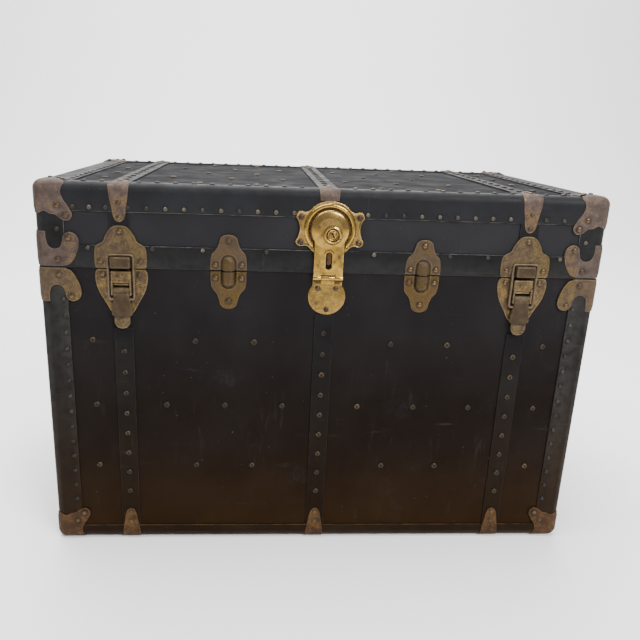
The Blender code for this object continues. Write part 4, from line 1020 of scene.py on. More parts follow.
def make_head_tree():
    """Round heads on points: a flattened ball with a cup, turned to each point's own direction."""
    inputs = {"Geometry": "", "Radius": 0.003, "Height": 0.0016, "Dimple": 0.0, "Flare": 1.0, "Spread": 0.06,
              "Seed": NAIL_SEED, "Finish": None}
    tree = new_group("round_heads", "Geometry", inputs, {"Geometry": ""})
    given = tree.given
    spread, seed = given["Spread"], given["Seed"]
    position = tree.add("GeometryNodeInputPosition")
    x, y, z = (tree.add("ShaderNodeSeparateXYZ", {0: position}, axis) for axis in "XYZ")
    flat = x * x + y * y
    level = z - (1.0 - flat).most(0.0).math("POWER", 6.0) * given["Dimple"]
    across = given["Radius"] * flat.math("SQRT").most(0.01).math("POWER", given["Flare"] - 1.0)
    up = level.most(z * 0.15) * given["Height"]
    shape = tree.add("ShaderNodeCombineXYZ", {0: x * across, 1: y * across, 2: up})
    ball = tree.add("GeometryNodeMeshUVSphere", {"Segments": 11, "Rings": 5, "Radius": 1.0})
    crowned = tree.add("GeometryNodeStoreNamedAttribute", {"Geometry": ball, "Name": "crown", "Value": level},
                       data_type="FLOAT")
    head = tree.add("GeometryNodeSetPosition", {"Geometry": crowned, "Position": shape})
    spin = tree.add("ShaderNodeCombineXYZ", {2: tree.random(0.0, 6.283, seed)})
    turned = tree.add("FunctionNodeEulerToRotation", {0: spin})
    aim = tree.add("GeometryNodeInputNamedAttribute", {"Name": "out"}, data_type="FLOAT_VECTOR")
    facing = tree.add("FunctionNodeAlignRotationToVector", {"Rotation": turned, "Vector": aim}, axis="Z")
    size = tree.random(1.0 - spread, spread + 1.0, seed + 1.0)
    laid = tree.add("GeometryNodeInstanceOnPoints",
                    {"Points": given["Geometry"], "Instance": head, "Rotation": facing, "Scale": size})
    tone = tree.random(0.0, 1.0, seed + 2.0)
    toned = tree.add("GeometryNodeStoreNamedAttribute", {"Geometry": laid, "Name": "tone", "Value": tone},
                     data_type="FLOAT", domain="INSTANCE")
    return close_tree(tree, toned)


def make_wire_tree():
    """Round wire along a path of edges."""
    inputs = {"Geometry": "", "Radius": 0.002, "Sides": 14, "Finish": None}
    tree = new_group("round_wire", "Geometry", inputs, {"Geometry": ""})
    given = tree.given
    path = tree.add("GeometryNodeMeshToCurve", {"Mesh": given["Geometry"]})
    ring = tree.add("GeometryNodeCurvePrimitiveCircle",
                    {"Resolution": given["Sides"], "Radius": given["Radius"]})
    wire = tree.add("GeometryNodeCurveToMesh", {"Curve": path, "Profile Curve": ring, "Fill Caps": True})
    return close_tree(tree, wire)


def grow(name, tree, points, edges=(), outs=None, **values):
    """Run a geometry tree on points and keep the plain mesh."""
    mesh = bpy.data.meshes.new(name)
    mesh.from_pydata([tuple(p) for p in points], list(edges), [])
    if outs is not None:
        data = mesh.attributes.new("out", "FLOAT_VECTOR", "POINT").data
        data.foreach_set("vector", [float(c) for out in outs for c in out])
    piece = bpy.data.objects.new(name, mesh)
    bpy.context.scene.collection.objects.link(piece)
    modifier = piece.modifiers.new("grown", "NODES")
    modifier.node_group = tree
    for item in tree.interface.items_tree:
        if item.in_out == "INPUT" and item.name in values:
            modifier[item.identifier] = values[item.name]
    bake(piece)
    return piece


HEAD_TREE = make_head_tree()
WIRE_TREE = make_wire_tree()
HEAD_KINDS = {
    "nail": dict(Radius=0.0042, Height=0.0027, Dimple=0.40, Flare=0.8, Finish=NAIL_IRON),
    "strip": dict(Radius=0.0040, Height=0.0026, Dimple=0.25, Flare=0.9, Finish=STRIP_NAIL),
    "band": dict(Radius=0.0052, Height=0.0028, Dimple=0.88, Flare=0.6, Finish=BAND_RIVET),
    "field": dict(Radius=0.0054, Height=0.0027, Dimple=0.88, Flare=0.6, Finish=FIELD_RIVET),
    "fitting": dict(Radius=0.0044, Height=0.0023, Dimple=0.10, Flare=0.9, Finish=FITTING_RIVET),
    "pin": dict(Radius=0.0019, Height=0.0005, Dimple=0.9, Flare=1.0, Finish=LOCK_RIVET),
    "lock": dict(Radius=0.0047, Height=0.0027, Dimple=0.0, Flare=0.9, Finish=LOCK_RIVET),
}


def make_heads():
    for index, ((body, kind), spots) in enumerate(sorted(HEADS.items())):
        places, outs = zip(*spots)
        piece = grow(f"{body}_{kind}_heads", HEAD_TREE, places, outs=outs, Spread=0.07,
                     Seed=NAIL_SEED + index, **HEAD_KINDS[kind])
        settle(piece, body)


# Boards and lining

def dress(material, *nodes):
    """Put a finish on solids that are shown as they are."""
    for node in nodes:
        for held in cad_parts[node].material_slots:
            held.material = material


def make_boards():
    dress(CLOTH, "front_board", "back_board", "left_end_board", "right_end_board", "bottom_board",
          "lid_frame")
    dress(SHADED_TOP_CLOTH, "lid_top_board")
    dress(PINE, "tray_ledge")
    dress(DARK_STEEL, "left_hinge_pin", "right_hinge_pin")


def add_walls(work, half_l, half_d, wall, corner, z, radius, steps):
    """Four walls inside a rectangle; those at its ends stop a corner short of it."""
    for side in (-1, 1):
        work.add_block(span(side, half_l - wall, half_l), wide(half_d - corner), z, radius, steps)
        work.add_block(wide(half_l), span(side, half_d - wall, half_d), z, radius, steps)


def make_lining():
    """Paper pasted inside the body and the lid, a little short of the seam."""
    near, far, short = 0.00005, 0.00025, 0.003
    half_l, half_d = HALF_L - BOARD - near, HALF_D - BOARD - near
    floor, ceiling = BASE_Z + BOARD, TOP_Z - BOARD
    for name, body, flat, z in (
            ("body_lining", "trunk_body", (floor + near, floor + far), (floor + far, RIM_Z - short)),
            ("lid_lining", "lid", (ceiling - far, ceiling - near), (SEAM_Z + short, ceiling - far))):
        work = Workpiece()
        work.add_block(wide(half_l), wide(half_d), flat, near, 1)
        add_walls(work, half_l, half_d, far - near, far - near, z, near, 1)
        work.hand_over(name, (LINING,), body)


# Fibre bindings and bands

def rounded_trunk(grown):
    return block_object(wide(HALF_L + grown), wide(HALF_D + grown), (BASE_Z - grown, TOP_Z + grown),
                        EDGE_RADIUS + grown, 8)


def make_binding(node, body, z, walls, end):
    """Strips between two heights, cut from a shell round the trunk by windows in its walls and one end."""
    far_x, far_y = wide(HALF_L + BOARD), wide(HALF_D + BOARD)
    open_x, open_y = wide(HALF_L + FIBRE_OUT - CORNER_STRIP), wide(HALF_D + FIBRE_OUT - CORNER_STRIP)
    piece = rounded_trunk(FIBRE_OUT)
    piece.name = node + "_strips"
    for material in (FIBRE, EDGE):
        piece.data.materials.append(material)
    carve(piece, block_object(far_x, far_y, z), "INTERSECT")
    carve(piece, rounded_trunk(GAP))
    for window in ((open_x, far_y, walls), (far_x, open_y, walls), end):
        carve(piece, block_object(*window))
    soften(piece, 0.0006)
    settle(piece, body, node)


def make_bindings():
    top, foot = TOP_Z + FIBRE_OUT - TOP_DROP, BASE_Z - FIBRE_OUT + BOTTOM_STRIP
    make_binding("lid_binding", "lid", (SEAM_Z, TOP_Z + BOARD), (SEAM_Z + VALANCE, top),
                 (wide(HALF_L - TOP_REACH_END), wide(HALF_D - TOP_REACH_FRONT), (top, TOP_Z + BOARD)))
    make_binding("body_binding", "trunk_body", (BASE_Z - BOARD, RIM_Z), (foot, SEAM_Z + BOARD),
                 (wide(HALF_L - BOTTOM_STRIP), wide(HALF_D - BOTTOM_STRIP), (BASE_Z - BOARD, foot)))


def edge_height(up):
    """Height of the metal's seat at the top edge (up 1) or the bottom edge (up -1)."""
    return (TOP_Z if up > 0 else BASE_Z) + up * METAL_SEAT


def band_clamp(work, x, up, side, reach, shape=BAND_CLAMP_FACE, drop=BAND_CLAMP_DROP):
    """A band's end clamp as one sheet folded over an edge."""
    face = smooth_line(scaled(shape, BAND_CLAMP_HALF, drop))
    flap = smooth_line(scaled(BAND_CLAMP_FACE, BAND_CLAMP_HALF, reach))
    points, triangles, depth = fill_plate([face + [(-u, -v) for u, v in flap[1:-1]]], FOLD_STEP)
    u, v = points.T
    sharp = np.column_stack([u, np.minimum(v, 0), np.minimum(-v, 0)])
    tip = (x, side * (HALF_D + METAL_SEAT), edge_height(up))
    work.add_folded(sharp, (False, True, True), tip, (1, side, up), triangles, depth,
                    0.0006 if up > 0 else 0.0, (0.002, 0.007), gilt=0.5 + 0.28 * step(0.012, 0.030, v))


def make_band(word, x, front_top):
    """A band over the lid and under the body, with its end clamps and rivets."""
    across = wide(BAND_HALF, x)
    rivet_out = METAL_OUT + 0.0004
    strips, clamps = Workpiece(), Workpiece()
    top_y = wide(HALF_D - TOP_REACH_FRONT - GAP)
    strips.add_block(across, top_y, (TOP_Z + GAP, TOP_Z + FIBRE_OUT), STRIP_ROUND, 2)
    lid_z = (SEAM_Z + VALANCE + GAP, TOP_Z + FIBRE_OUT - TOP_DROP - GAP)
    for side in (-1, 1):
        if word == "centre" and side < 0:
            band_clamp(clamps, x, 1, side, BAND_CLAMP_REACH, SHORT_CLAMP_FACE, SHORT_CLAMP_DROP)
        else:
            strips.add_block(across, span(side, HALF_D + GAP, HALF_D + FIBRE_OUT), lid_z, STRIP_ROUND, 2)
            band_clamp(clamps, x, 1, side, BAND_CLAMP_REACH)
            for down in (0.0275, 0.0505):
                drive_front("lid", "fitting", x, TOP_Z - down, rivet_out, side)
        for back in (0.0315, 0.0165):
            drive_top("fitting", x, side * (HALF_D - back), rivet_out)
    strips.hand_over(word + "_lid_band_strips", (BAND_FIBRE,), "lid", word + "_lid_band", "black_fibre")
    clamps.hand_over(word + "_lid_band_clamps", (MAUVE_STEEL,), "lid")
    for y in spaced(-0.198, 0.198, 0.036):
        drive_top("band", x, y, FIBRE_OUT)
    strips, clamps = Workpiece(), Workpiece()
    strips.add_block(across, wide(HALF_D - BOTTOM_STRIP - GAP), (0, BASE_Z - GAP), 0.0006, 2)
    low = BASE_Z - FIBRE_OUT + BOTTOM_STRIP + GAP
    for side, top in ((-1, front_top), (1, RIM_Z - BAND_STOP)):
        strips.add_block(across, span(side, HALF_D + GAP, HALF_D + FIBRE_OUT), (low, top), STRIP_ROUND, 2)
        band_clamp(clamps, x, -1, side, SKID_CLAMP_REACH)
        for z in (0.036, 0.0545):
            drive_front("trunk_body", "fitting", x, z, METAL_OUT, side)
        for z in spaced(0.097, 0.394, 0.0372) + [0.432, 0.469]:
            if z < top - 0.008:
                drive_front("trunk_body", "band", x, z, FIBRE_OUT, side)
    strips.hand_over(word + "_body_band_strips", (BAND_FIBRE,), "trunk_body", word + "_body_band",
                     "black_fibre")
    clamps.hand_over(word + "_body_band_clamps", (LOW_STEEL,), "trunk_body")


def make_bands():
    latch_foot = LEVER_Z - LEVER[1] - GAP
    make_band("left", -BAND_X, latch_foot)
    make_band("centre", 0.0, LOWER_Z - LOWER_RADIUS - GAP)
    make_band("right", BAND_X, latch_foot)


# Corners and clamps

def fold_on(name, body, turn, foot, sharp, axes, triangles, depth, material, rivets, grime, gilt=0.5):
    """A stamping folded round an edge of the trunk, with rivets at (distance from the edge, height)."""
    across, back = turn[:2]
    length, width = HALF_L + METAL_SEAT, HALF_D + METAL_SEAT
    work = Workpiece()
    work.add_folded(sharp, axes, (across * length, back * width, foot), turn, triangles, depth, FOLD_RISE,
                    FOLD_SHOULDER, grime, gilt)
    work.hand_over(name + "_stamping", (material,), body, name)
    rivet_out = METAL_OUT + 0.0007
    for u, z in rivets:
        drive_front(body, "fitting", across * (length - u), z, rivet_out, back)
        drive_end(body, "fitting", back * (width - u), z, rivet_out, across)


def make_corner(name, body, across, back, up, material):
    """A stamped corner of three faces that share their folds."""
    side, flat = ([(0.0, 0.0)] + smooth_line(scaled(shape, CORNER_SIZE, CORNER_SIZE))
                  for shape in (CORNER_SIDE, CORNER_TOP))
    known, sharp, depths, triangles = {}, [], [], []
    for loop, lay in ((side, lambda u, v: (-u, 0, -v)), (side, lambda u, v: (0, -u, -v)),
                      (flat, lambda u, v: (-u, -v, 0))):
        points, faces, depth = fill_plate([loop], FOLD_STEP, True)
        places = []
        for (u, v), far in zip(points, depth):
            spot = lay(max(u, 0.0), max(v, 0.0))
            key = tuple(round(c * 1e6) for c in spot)
            if key not in known:
                known[key] = len(sharp)
                sharp.append(spot)
                depths.append(far)
            depths[known[key]] = min(depths[known[key]], far)
            places.append(known[key])
        triangles += [tuple(places[i] for i in face) for face in faces]
    rivets = ((0.0365, 0.0365), (0.0485, 0.0515))
    x, y, z = -np.array(sharp).T
    tip = edge_height(up)
    fold_on(name, body, (across, back, up), tip, sharp, (True, True, True), triangles, np.array(depths),
            material, [(u, tip - up * v) for u, v in rivets], round_rivets(x + y, z, rivets))
    if up > 0:
        for u, v in ((0.030, 0.030), (0.040, 0.014), (0.014, 0.040)):
            drive_top("nail", across * (HALF_L - u), back * (HALF_D - v), METAL_OUT + 0.0006)


def make_clamp(name, body, across, back, up, material):
    """A U-shaped clamp round a vertical edge, above or below the seam."""
    face = smooth_line(scaled(CLAMP_FACE, CLAMP_WIDTH, CLAMP_HEIGHT))
    loop = face[:-1] + [(-u, v) for u, v in reversed(face[1:-1])]
    points, triangles, depth = fill_plate([loop], FOLD_STEP)
    u, v = points.T
    rivets = ((0.0325, 0.0105), (0.0505, 0.0455))
    fold_on(name, body, (across, back, up), SEAM_Z + up * CLAMP_SEAM,
            np.column_stack([np.minimum(-u, 0), np.minimum(u, 0), v]), (True, True, False), triangles, depth,
            material, [(a, SEAM_Z + up * (CLAMP_SEAM + b)) for a, b in rivets],
            np.maximum(round_rivets(np.abs(u), v, rivets), 0.14 if up > 0 else 0.0),
            0.24 + 0.46 * step(0.025, 0.050, np.abs(u)))


def make_edge_metal():
    for hand, across in (("left", -1), ("right", 1)):
        for depth, back in (("front", -1), ("back", 1)):
            corner = f"{depth}_{hand}_"
            make_corner(corner + "lid_corner", "lid", across, back, 1, MAUVE_STEEL)
            make_corner(corner + "bottom_corner", "trunk_body", across, back, -1, LOW_STEEL)
            make_clamp(corner + "lid_clamp", "lid", across, back, 1, MAUVE_STEEL)
            make_clamp(corner + "body_clamp", "trunk_body", across, back, -1, OLIVE_STEEL)


# Draw bolts

def make_keeper(hand, x):
    """The keeper plate on the lid, with its catch."""
    rivets = ((0.0, 0.556), (-0.0315, 0.508), (0.0310, 0.508))

    def lift(u, v, depth):
        hollow = 0.0009 * step(0.0105, 0.0135, depth) * step(0.030, 0.036, v)
        return rounded_rim(depth, METAL, METAL_ROUND) + 0.0011 * step(0.0035, 0.0065, depth) - hollow

    # painted shade round the catch, dirt and painted shade round the rivets
    def dirt_and_shade(u, v):
        by_catch = near_box(u, v, CATCH_HALF, 0, CATCH_TOP - SEAM_Z, 0.005)
        return np.maximum(by_catch, round_rivets(u, v + SEAM_Z, rivets))
    work = Workpiece()
    work.add_plate([mirror_half(KEEPER_HALF, *KEEPER)], on_wall(x, SEAM_Z, METAL_SEAT), lift, grime=dirt_and_shade,
                   gilt=lambda u, v: 0.55 + 0.25 * step(-0.01, 0.03, u))
    catch = on_front(wide(CATCH_HALF, x), (SEAM_Z + 0.001, CATCH_TOP), (METAL_SEAT + METAL / 2, CATCH_OUT))
    work.add_block(*catch, 0.0028, 4, 1)
    work.hand_over(hand + "_keeper_stamping", (OLIVE_STEEL, LEVER_STEEL), "lid", hand + "_latch_keeper")
    drive_rivets("lid", x, rivets, METAL_OUT + 0.0010)


def make_latch_base(hand, x):
    """The base plate on the body, with its housing, two ears for the lever's pin and a rib."""
    rivets = ((-0.0295, 0.487), (0.0285, 0.487))
    foot = HOUSING[0] - BASE_LOW
    inner = LEVER_NECK + RUN

    def lift(u, v, depth):
        bead = 0.0006 * bell(depth, 0.0042, 0.0013)
        return rounded_rim(depth, PLATE, PLATE_ROUND) - bead + 0.0003 * step(0.006, 0.009, depth)

    # painted shade round the housing, dirt and painted shade round the rivets
    def dirt_and_shade(u, v):
        by_housing = near_box(u, v, HOUSING_HALF + 0.002, foot - 0.032, BASE[1], 0.004)
        return np.maximum(by_housing, round_rivets(u, v + BASE_LOW, rivets))
    work = Workpiece()
    work.add_plate([mirror_half(BASE_HALF, *BASE)], on_wall(x, BASE_LOW, GAP), lift, grime=dirt_and_shade)
    ear_z, rib_z = (LEVER_Z - 0.008, HOUSING[0] + 0.004), (LEVER_Z + 0.0078, HOUSING[0] - 0.0007)
    for across, z, out, radius, steps in (
            (wide(HOUSING_HALF, x), HOUSING, HOUSING_OUT, 0.0022, 4),
            (span(-1, inner, inner + EAR, x), ear_z, EAR_OUT, 0.0012, 3),
            (span(1, inner, inner + EAR, x), ear_z, EAR_OUT, 0.0012, 3),
            (wide(inner - 0.0004, x), rib_z, RIB_OUT, 0.0014, 3)):
        work.add_block(*on_front(across, z, (GAP + PLATE / 2, out)), radius, steps)
    work.hand_over(hand + "_latch_base_stamping", (GOLD_STEEL,), "trunk_body", hand + "_latch_base")
    drive_rivets("trunk_body", x, rivets, PLATE_OUT + 0.0003)
    drive_front("trunk_body", "pin", x - 0.006, 0.485, HOUSING_OUT)


def make_lever(hand, x):
    """The thumb lever, with its barrel and pin."""
    def lift(u, v, depth):
        crown = 0.0008 * (1 - np.clip(np.abs(u) / (LEVER[0] / 2), 0, 1) ** 2)
        tab = 0.0011 * step(0.042, 0.045, -v)
        flat = rounded_rim(depth, LEVER_THICK - 0.0006, 0.0018)
        return flat + (crown - tab) * step(0.0, 0.003, depth) + 0.0014 * bell(v, -0.006, 0.0030)
    work = Workpiece()
    # a painted shade line along the tab's step
    work.add_plate([mirror_half(LEVER_HALF, *LEVER)], on_wall(x, LEVER_Z, LEVER_OUT), lift, FINE_STEP,
                   grime=lambda u, v: 0.7 * bell(v, -0.0435, 0.0016),
                   gilt=lambda u, v: 0.35 + 0.6 * step(0.042, 0.047, -v) + 0.1 * (v > -0.011))
    for half, *shape in ((LEVER_NECK, LEVER_BARREL), (LEVER_NECK + RUN + EAR, PIN_RADIUS, PIN_ROUND, 16)):
        work.add_pin(wide(half, x), -HALF_D - LEVER_OUT, LEVER_Z, *shape)
    work.hand_over(hand + "_lever_stamping", (LEVER_STEEL,), hand + "_lever", hand + "_latch_lever")


def make_bail(hand, x):
    """The wire bail, with its feet turned in to the lever."""
    foot = 2 * WIRE_RADIUS
    right = [(LEVER_NECK - EAR / 2, 0.0)]
    right += arc(BAIL_HALF - foot, foot, foot, -math.pi / 2, math.pi / 2, 8)
    right += arc(BAIL_HALF - BAIL_BEND, BAIL_REACH - BAIL_BEND, BAIL_BEND, 0.0, math.pi / 2, 8)
    route = right + [(-u, v) for u, v in reversed(right)]
    points = [(x + u, -HALF_D - LEVER_OUT, BAIL_Z + v) for u, v in route]
    edges = [(i, i + 1) for i in range(len(points) - 1)]
    piece = grow(hand + "_bail_wire", WIRE_TREE, points, edges, Radius=WIRE_RADIUS, Sides=14,
                 Finish=WIRE_STEEL)
    settle(piece, hand + "_bail", hand + "_latch_bail")


def make_draw_bolts():
    for hand, x in (("left", -BAND_X), ("right", BAND_X)):
        for make in (make_keeper, make_latch_base, make_lever, make_bail):
            make(hand, x)


# Lid locators

def dowel_plate(x, up, z, seat, thick, rim, height, top, rivets, gilt):
    """One plate of a locator: a thumb-shaped dome with a groove and a low ridge round it."""
    def far(u, v):
        """Distance from the dome's middle line, in half widths of the dome."""
        return np.hypot(u, up * v - np.clip(up * v, None, top - BARREL_HALF)) / BARREL_HALF

    def dome(u, v):
        return np.clip(1 - far(u, v) ** 2.6, 0, 1) ** 0.5

    def lift(u, v, depth):
        flat = rounded_rim(depth, thick, rim) + 0.0003 * step(0.003, 0.006, depth)
        ridge = 0.0006 * bell(far(u, v), 1.28, 0.12)
        return np.maximum(flat + ridge, (BARREL_OUT - seat) * dome(u, v))

    # painted shade in the groove round the dome and round the rivets, with the dome a little dirtier
    def dirt_and_shade(u, v):
        groove = 0.45 * bell(far(u, v), 1.06, 0.08)
        return np.max((0.18 * (dome(u, v) > 0.1), groove, round_rivets(u, v + z, rivets)), axis=0)
    work = Workpiece()
    work.add_plate([mirror_half(DOWEL_HALF, DOWEL_WIDTH, up * height)], on_wall(x, z, seat), lift, FINE_STEP,
                   grime=dirt_and_shade, gilt=lambda u, v: gilt + up * 0.1 * (dome(u, v) > 0.1))
    return work


def make_dowels():
    upper = ((0.0, 0.545), (-0.021, 0.506), (0.021, 0.506))
    lower = ((0.0, 0.446), (-0.021, 0.484), (0.021, 0.484))
    half, reach, thick = TONGUE
    slack = TONGUE_CLEAR
    for hand, x in (("left", -DOWEL_X), ("right", DOWEL_X)):
        work = dowel_plate(x, 1, SEAM_Z, METAL_SEAT, METAL, METAL_ROUND, DOWEL_UP, BARREL_UP, upper, 0.44)
        work.add_block(*on_front(wide(half, x), (SEAM_Z - reach, SEAM_Z + reach / 2),
                                 (METAL_OUT, METAL_OUT + thick)), 0.0012, 3)
        work.hand_over(hand + "_dowel_pin_stamping", (DOWEL_STEEL,), "lid", hand + "_dowel_pin")
        work = dowel_plate(x, -1, RIM_Z, GAP, PLATE, PLATE_ROUND, DOWEL_DOWN, BARREL_DOWN, lower, 0.74)
        piece = work.to_object(hand + "_dowel_socket_stamping", (DOWEL_STEEL,))
        carve(piece, block_object(*on_front(wide(half + slack, x), (SEAM_Z - reach - slack, SEAM_Z + BOARD),
                                            (METAL_OUT - slack, METAL_OUT + thick + slack))))
        settle(piece, "trunk_body", hand + "_dowel_socket")
        drive_rivets("lid", x, upper, METAL_OUT + 0.0003)
        drive_rivets("trunk_body", x, lower, PLATE_OUT + 0.0003)


# Lock

def make_lock_plate():
    """The round plate on the lid, with four ears and a raised ring that is open below for the hasp."""
    ear_x, ear_z, tip = LOCK_EAR
    quarter = arc(0, 0, LOCK_RADIUS, math.pi / 2, -math.radians(50), 4)
    quarter.append((ear_x - 0.85 * tip, ear_z + 0.83 * tip))
    quarter += arc(ear_x, ear_z, tip, math.radians(96), -math.radians(145), 5) + [(LOCK_WAIST, 0)]
    right = quarter + [(u, -v) for u, v in reversed(quarter[:-1])]
    outline = smooth_line(right + [(-u, v) for u, v in reversed(right[1:-1])], closed=True)
    rivets = ((-0.0465, 0.0185), (-0.0465, -0.0215), (0.0465, 0.0190), (0.0465, -0.0210))

    def lift(u, v, depth):
        around = np.hypot(u, v)
        ring = np.sqrt(np.clip(1 - ((around - RING_RADIUS) / RING_SECTION) ** 2, 0, 1))
        ring = ring * (RING_SECTION - 0.0004)
        beside_hasp = np.clip((np.abs(u) - HASP_HALF - 0.0006) / 0.0012, 0, 1)
        ears = 0.0008 * (1 - step(0.0012, 0.0022, depth)) * step(RING_RADIUS + RING_SECTION, 0.047, around)
        return rounded_rim(depth, METAL, METAL_ROUND) + ring * np.where(v > 0, 1, beside_hasp) * 0.92 + ears

    # painted shade inside the ring, in the groove round the hasp's head, and round the rivets
    def dirt_and_shade(u, v):
        return np.maximum(1 - step(0.0335, 0.0352, np.hypot(u, v)), round_rivets(u, v, rivets))
    work = Workpiece()
    work.add_plate([outline], on_wall(LOCK_X, LOCK_Z, METAL_SEAT), lift, LOCK_STEP, grime=dirt_and_shade,
                   gilt=lambda u, v: 0.5 + 0.5 * step(0.040, 0.046, np.hypot(u, v)))
    work.hand_over("lock_plate_pressing", (BRASS,), "lid", "lock_plate", "polished_brass")
    drive_rivets("lid", LOCK_X, [(u, LOCK_Z + v) for u, v in rivets], METAL_OUT, "lock")


def keyhole_outline(radius, half_width, foot):
    start = -math.asin(math.sqrt(1 - (half_width / radius) ** 2))
    return arc(0, 0, radius, start, math.pi - 2 * start, 56) + [(-half_width, foot), (half_width, foot)]


def make_hasp():
    """The hasp: neck, dome, key collar with its bore, slot, and the two outer knuckles."""
    foot, slot_v = HASP_Z - LOCK_Z, SLOT_Z - LOCK_Z
    inner, notch = KNUCKLE_MIDDLE + RUN, foot + HASP_NOTCH
    half, reach = SLOT[0], SLOT[1] - SLOT[0]
    outline = keyhole_outline(HASP_HEAD, HASP_HALF, foot)
    outline[-1:-1] = [(-inner, foot), (-inner, notch), (inner, notch), (inner, foot)]
    bore = arc(PLUG_X, -PLUG_DROP, PLUG_RADIUS + RUN)[:-1]
    stains = ((0.0160, -0.0430, 0.0042, 0.95), (0.0085, -0.0520, 0.0022, 0.95),
              (-0.0170, -0.0570, 0.0020, 0.90), (-0.0185, 0.0045, 0.0036, 0.85),
              (-0.0100, 0.0095, 0.0036, 0.70), (0.0190, 0.0070, 0.0046, 0.60))

    def lift(u, v, depth):
        around = np.hypot(u, v)
        dome = DOME_RISE * np.clip((DOME_FOOT - around) / (DOME_FOOT - DOME_TOP), 0, 1) ** 0.6
        dome = dome * step(-0.034, -0.004, v)
        from_key = np.hypot(u - PLUG_X, v + PLUG_DROP)
        crest = np.sqrt(np.clip(1 - ((from_key - COLLAR_CREST) / 0.0032) ** 2, 0, 1))
        collar = (COLLAR_RISE - 0.0001) * crest
        collar = np.where(from_key < COLLAR_CREST, np.maximum(collar, COLLAR_RISE - 0.0012), collar)
        from_slot = np.hypot(u, v - np.clip(v, slot_v - reach, slot_v + reach))
        lip = 0.0005 * bell(from_slot, 0.0062, 0.0014)
        at_notch = (np.abs(u) < inner + 0.0025) & (v < notch + 0.0025)
        body = rounded_rim(depth, HASP_THICK, np.where(at_notch, 0.0006, 0.0022))
        return body + np.maximum(dome * step(0, 0.003, depth), collar) + lip * (around > HASP_HEAD - 0.004)

    # painted shade at the collar's foot and round the notch; the nicks and stains are real marks
    def dirt_and_shade(u, v):
        from_key = np.hypot(u - PLUG_X, v + PLUG_DROP)
        ring = 0.8 * bell(from_key, 0.0152, 0.0009)
        nicks = 0.9 * bell(from_key, 0.0178, 0.0007) * bell(v, 0.0012 - PLUG_DROP, 0.0024)
        by_notch = near_box(u, v, inner, foot, notch, 0.0014)
        return np.max((ring, nicks, stained(u, v, stains), by_notch), axis=0)
    work = Workpiece()
    # the upper hasp gets a high gilt mark, painted paler as a reflection
    work.add_plate([outline, bore, capsule(slot_v, reach, half)], on_wall(LOCK_X, LOCK_Z, HASP_BACK), lift,
                   LOCK_STEP, grime=dirt_and_shade, gilt=lambda u, v: 0.5 + 0.5 * step(-0.004, 0.008, v))
    for way in (-1, 1):
        work.add_pin((LOCK_X + way * inner, LOCK_X + way * HASP_HALF), -HALF_D - HASP_OUT, HASP_Z, KNUCKLE)
    work.hand_over("hasp_casting", (BRASS,), "lock_hasp", "hasp", "polished_brass")


def make_plug():
    """The key cylinder, with its keyway and a turned groove."""
    x, z = LOCK_X + PLUG_X, LOCK_Z - PLUG_DROP
    thick = HASP_THICK + COLLAR_RISE + PLUG_PROUD - RUN
    lean, groove = math.radians(28), 0.0066
    keyway = [(u * math.cos(lean) - v * math.sin(lean), u * math.sin(lean) + v * math.cos(lean))
              for u, v in KEYWAY]

    def lift(u, v, depth):
        turned = 0.0011 * bell(np.hypot(u, v), groove, 0.0007)
        return rounded_rim(depth, thick, 0.0010) * 0.15 + thick * 0.85 - turned
    work = Workpiece()
    # the turned groove is darkened, dirt and painted shade
    work.add_plate([arc(0, 0, PLUG_RADIUS)[:-1], keyway], on_wall(x, z, HASP_BACK + RUN), lift, 0.0009,
                   grime=lambda u, v: bell(np.hypot(u, v), groove, 0.0008))
    back = -HALF_D - HASP_BACK - RUN
    work.add_rod((x, back, z), (x, back - 0.006, z), PLUG_RADIUS - 0.0005, finish=1)
    work.hand_over("key_cylinder_turning", (BRASS, DARK_STEEL), "lock_cylinder", "key_cylinder",
                   "polished_brass")


def make_slide():
    """The release button in the hasp's slot, hollowed for a thumb."""
    half, tall = SLOT
    top, low = SLOT_Z + tall - RUN, SLOT_Z - tall + RUN + SLIDE_TRAVEL
    radius = half - RUN
    thick = HASP_THICK + SLIDE_PROUD - RUN

    def lift(u, v, depth):
        return thick - 0.0012 * (1 - step(0, 0.0016, depth)) - 0.0005 * bell(v, 0.0, 0.0025)
    work = Workpiece()
    work.add_plate([capsule(0.0, (top - low) / 2 - radius, radius)],
                   on_wall(LOCK_X, (top + low) / 2, HASP_BACK + RUN), lift, 0.0012)
    work.hand_over("release_slide_button", (DARK_STEEL,), "lock_slide", "release_slide", "dark_steel")


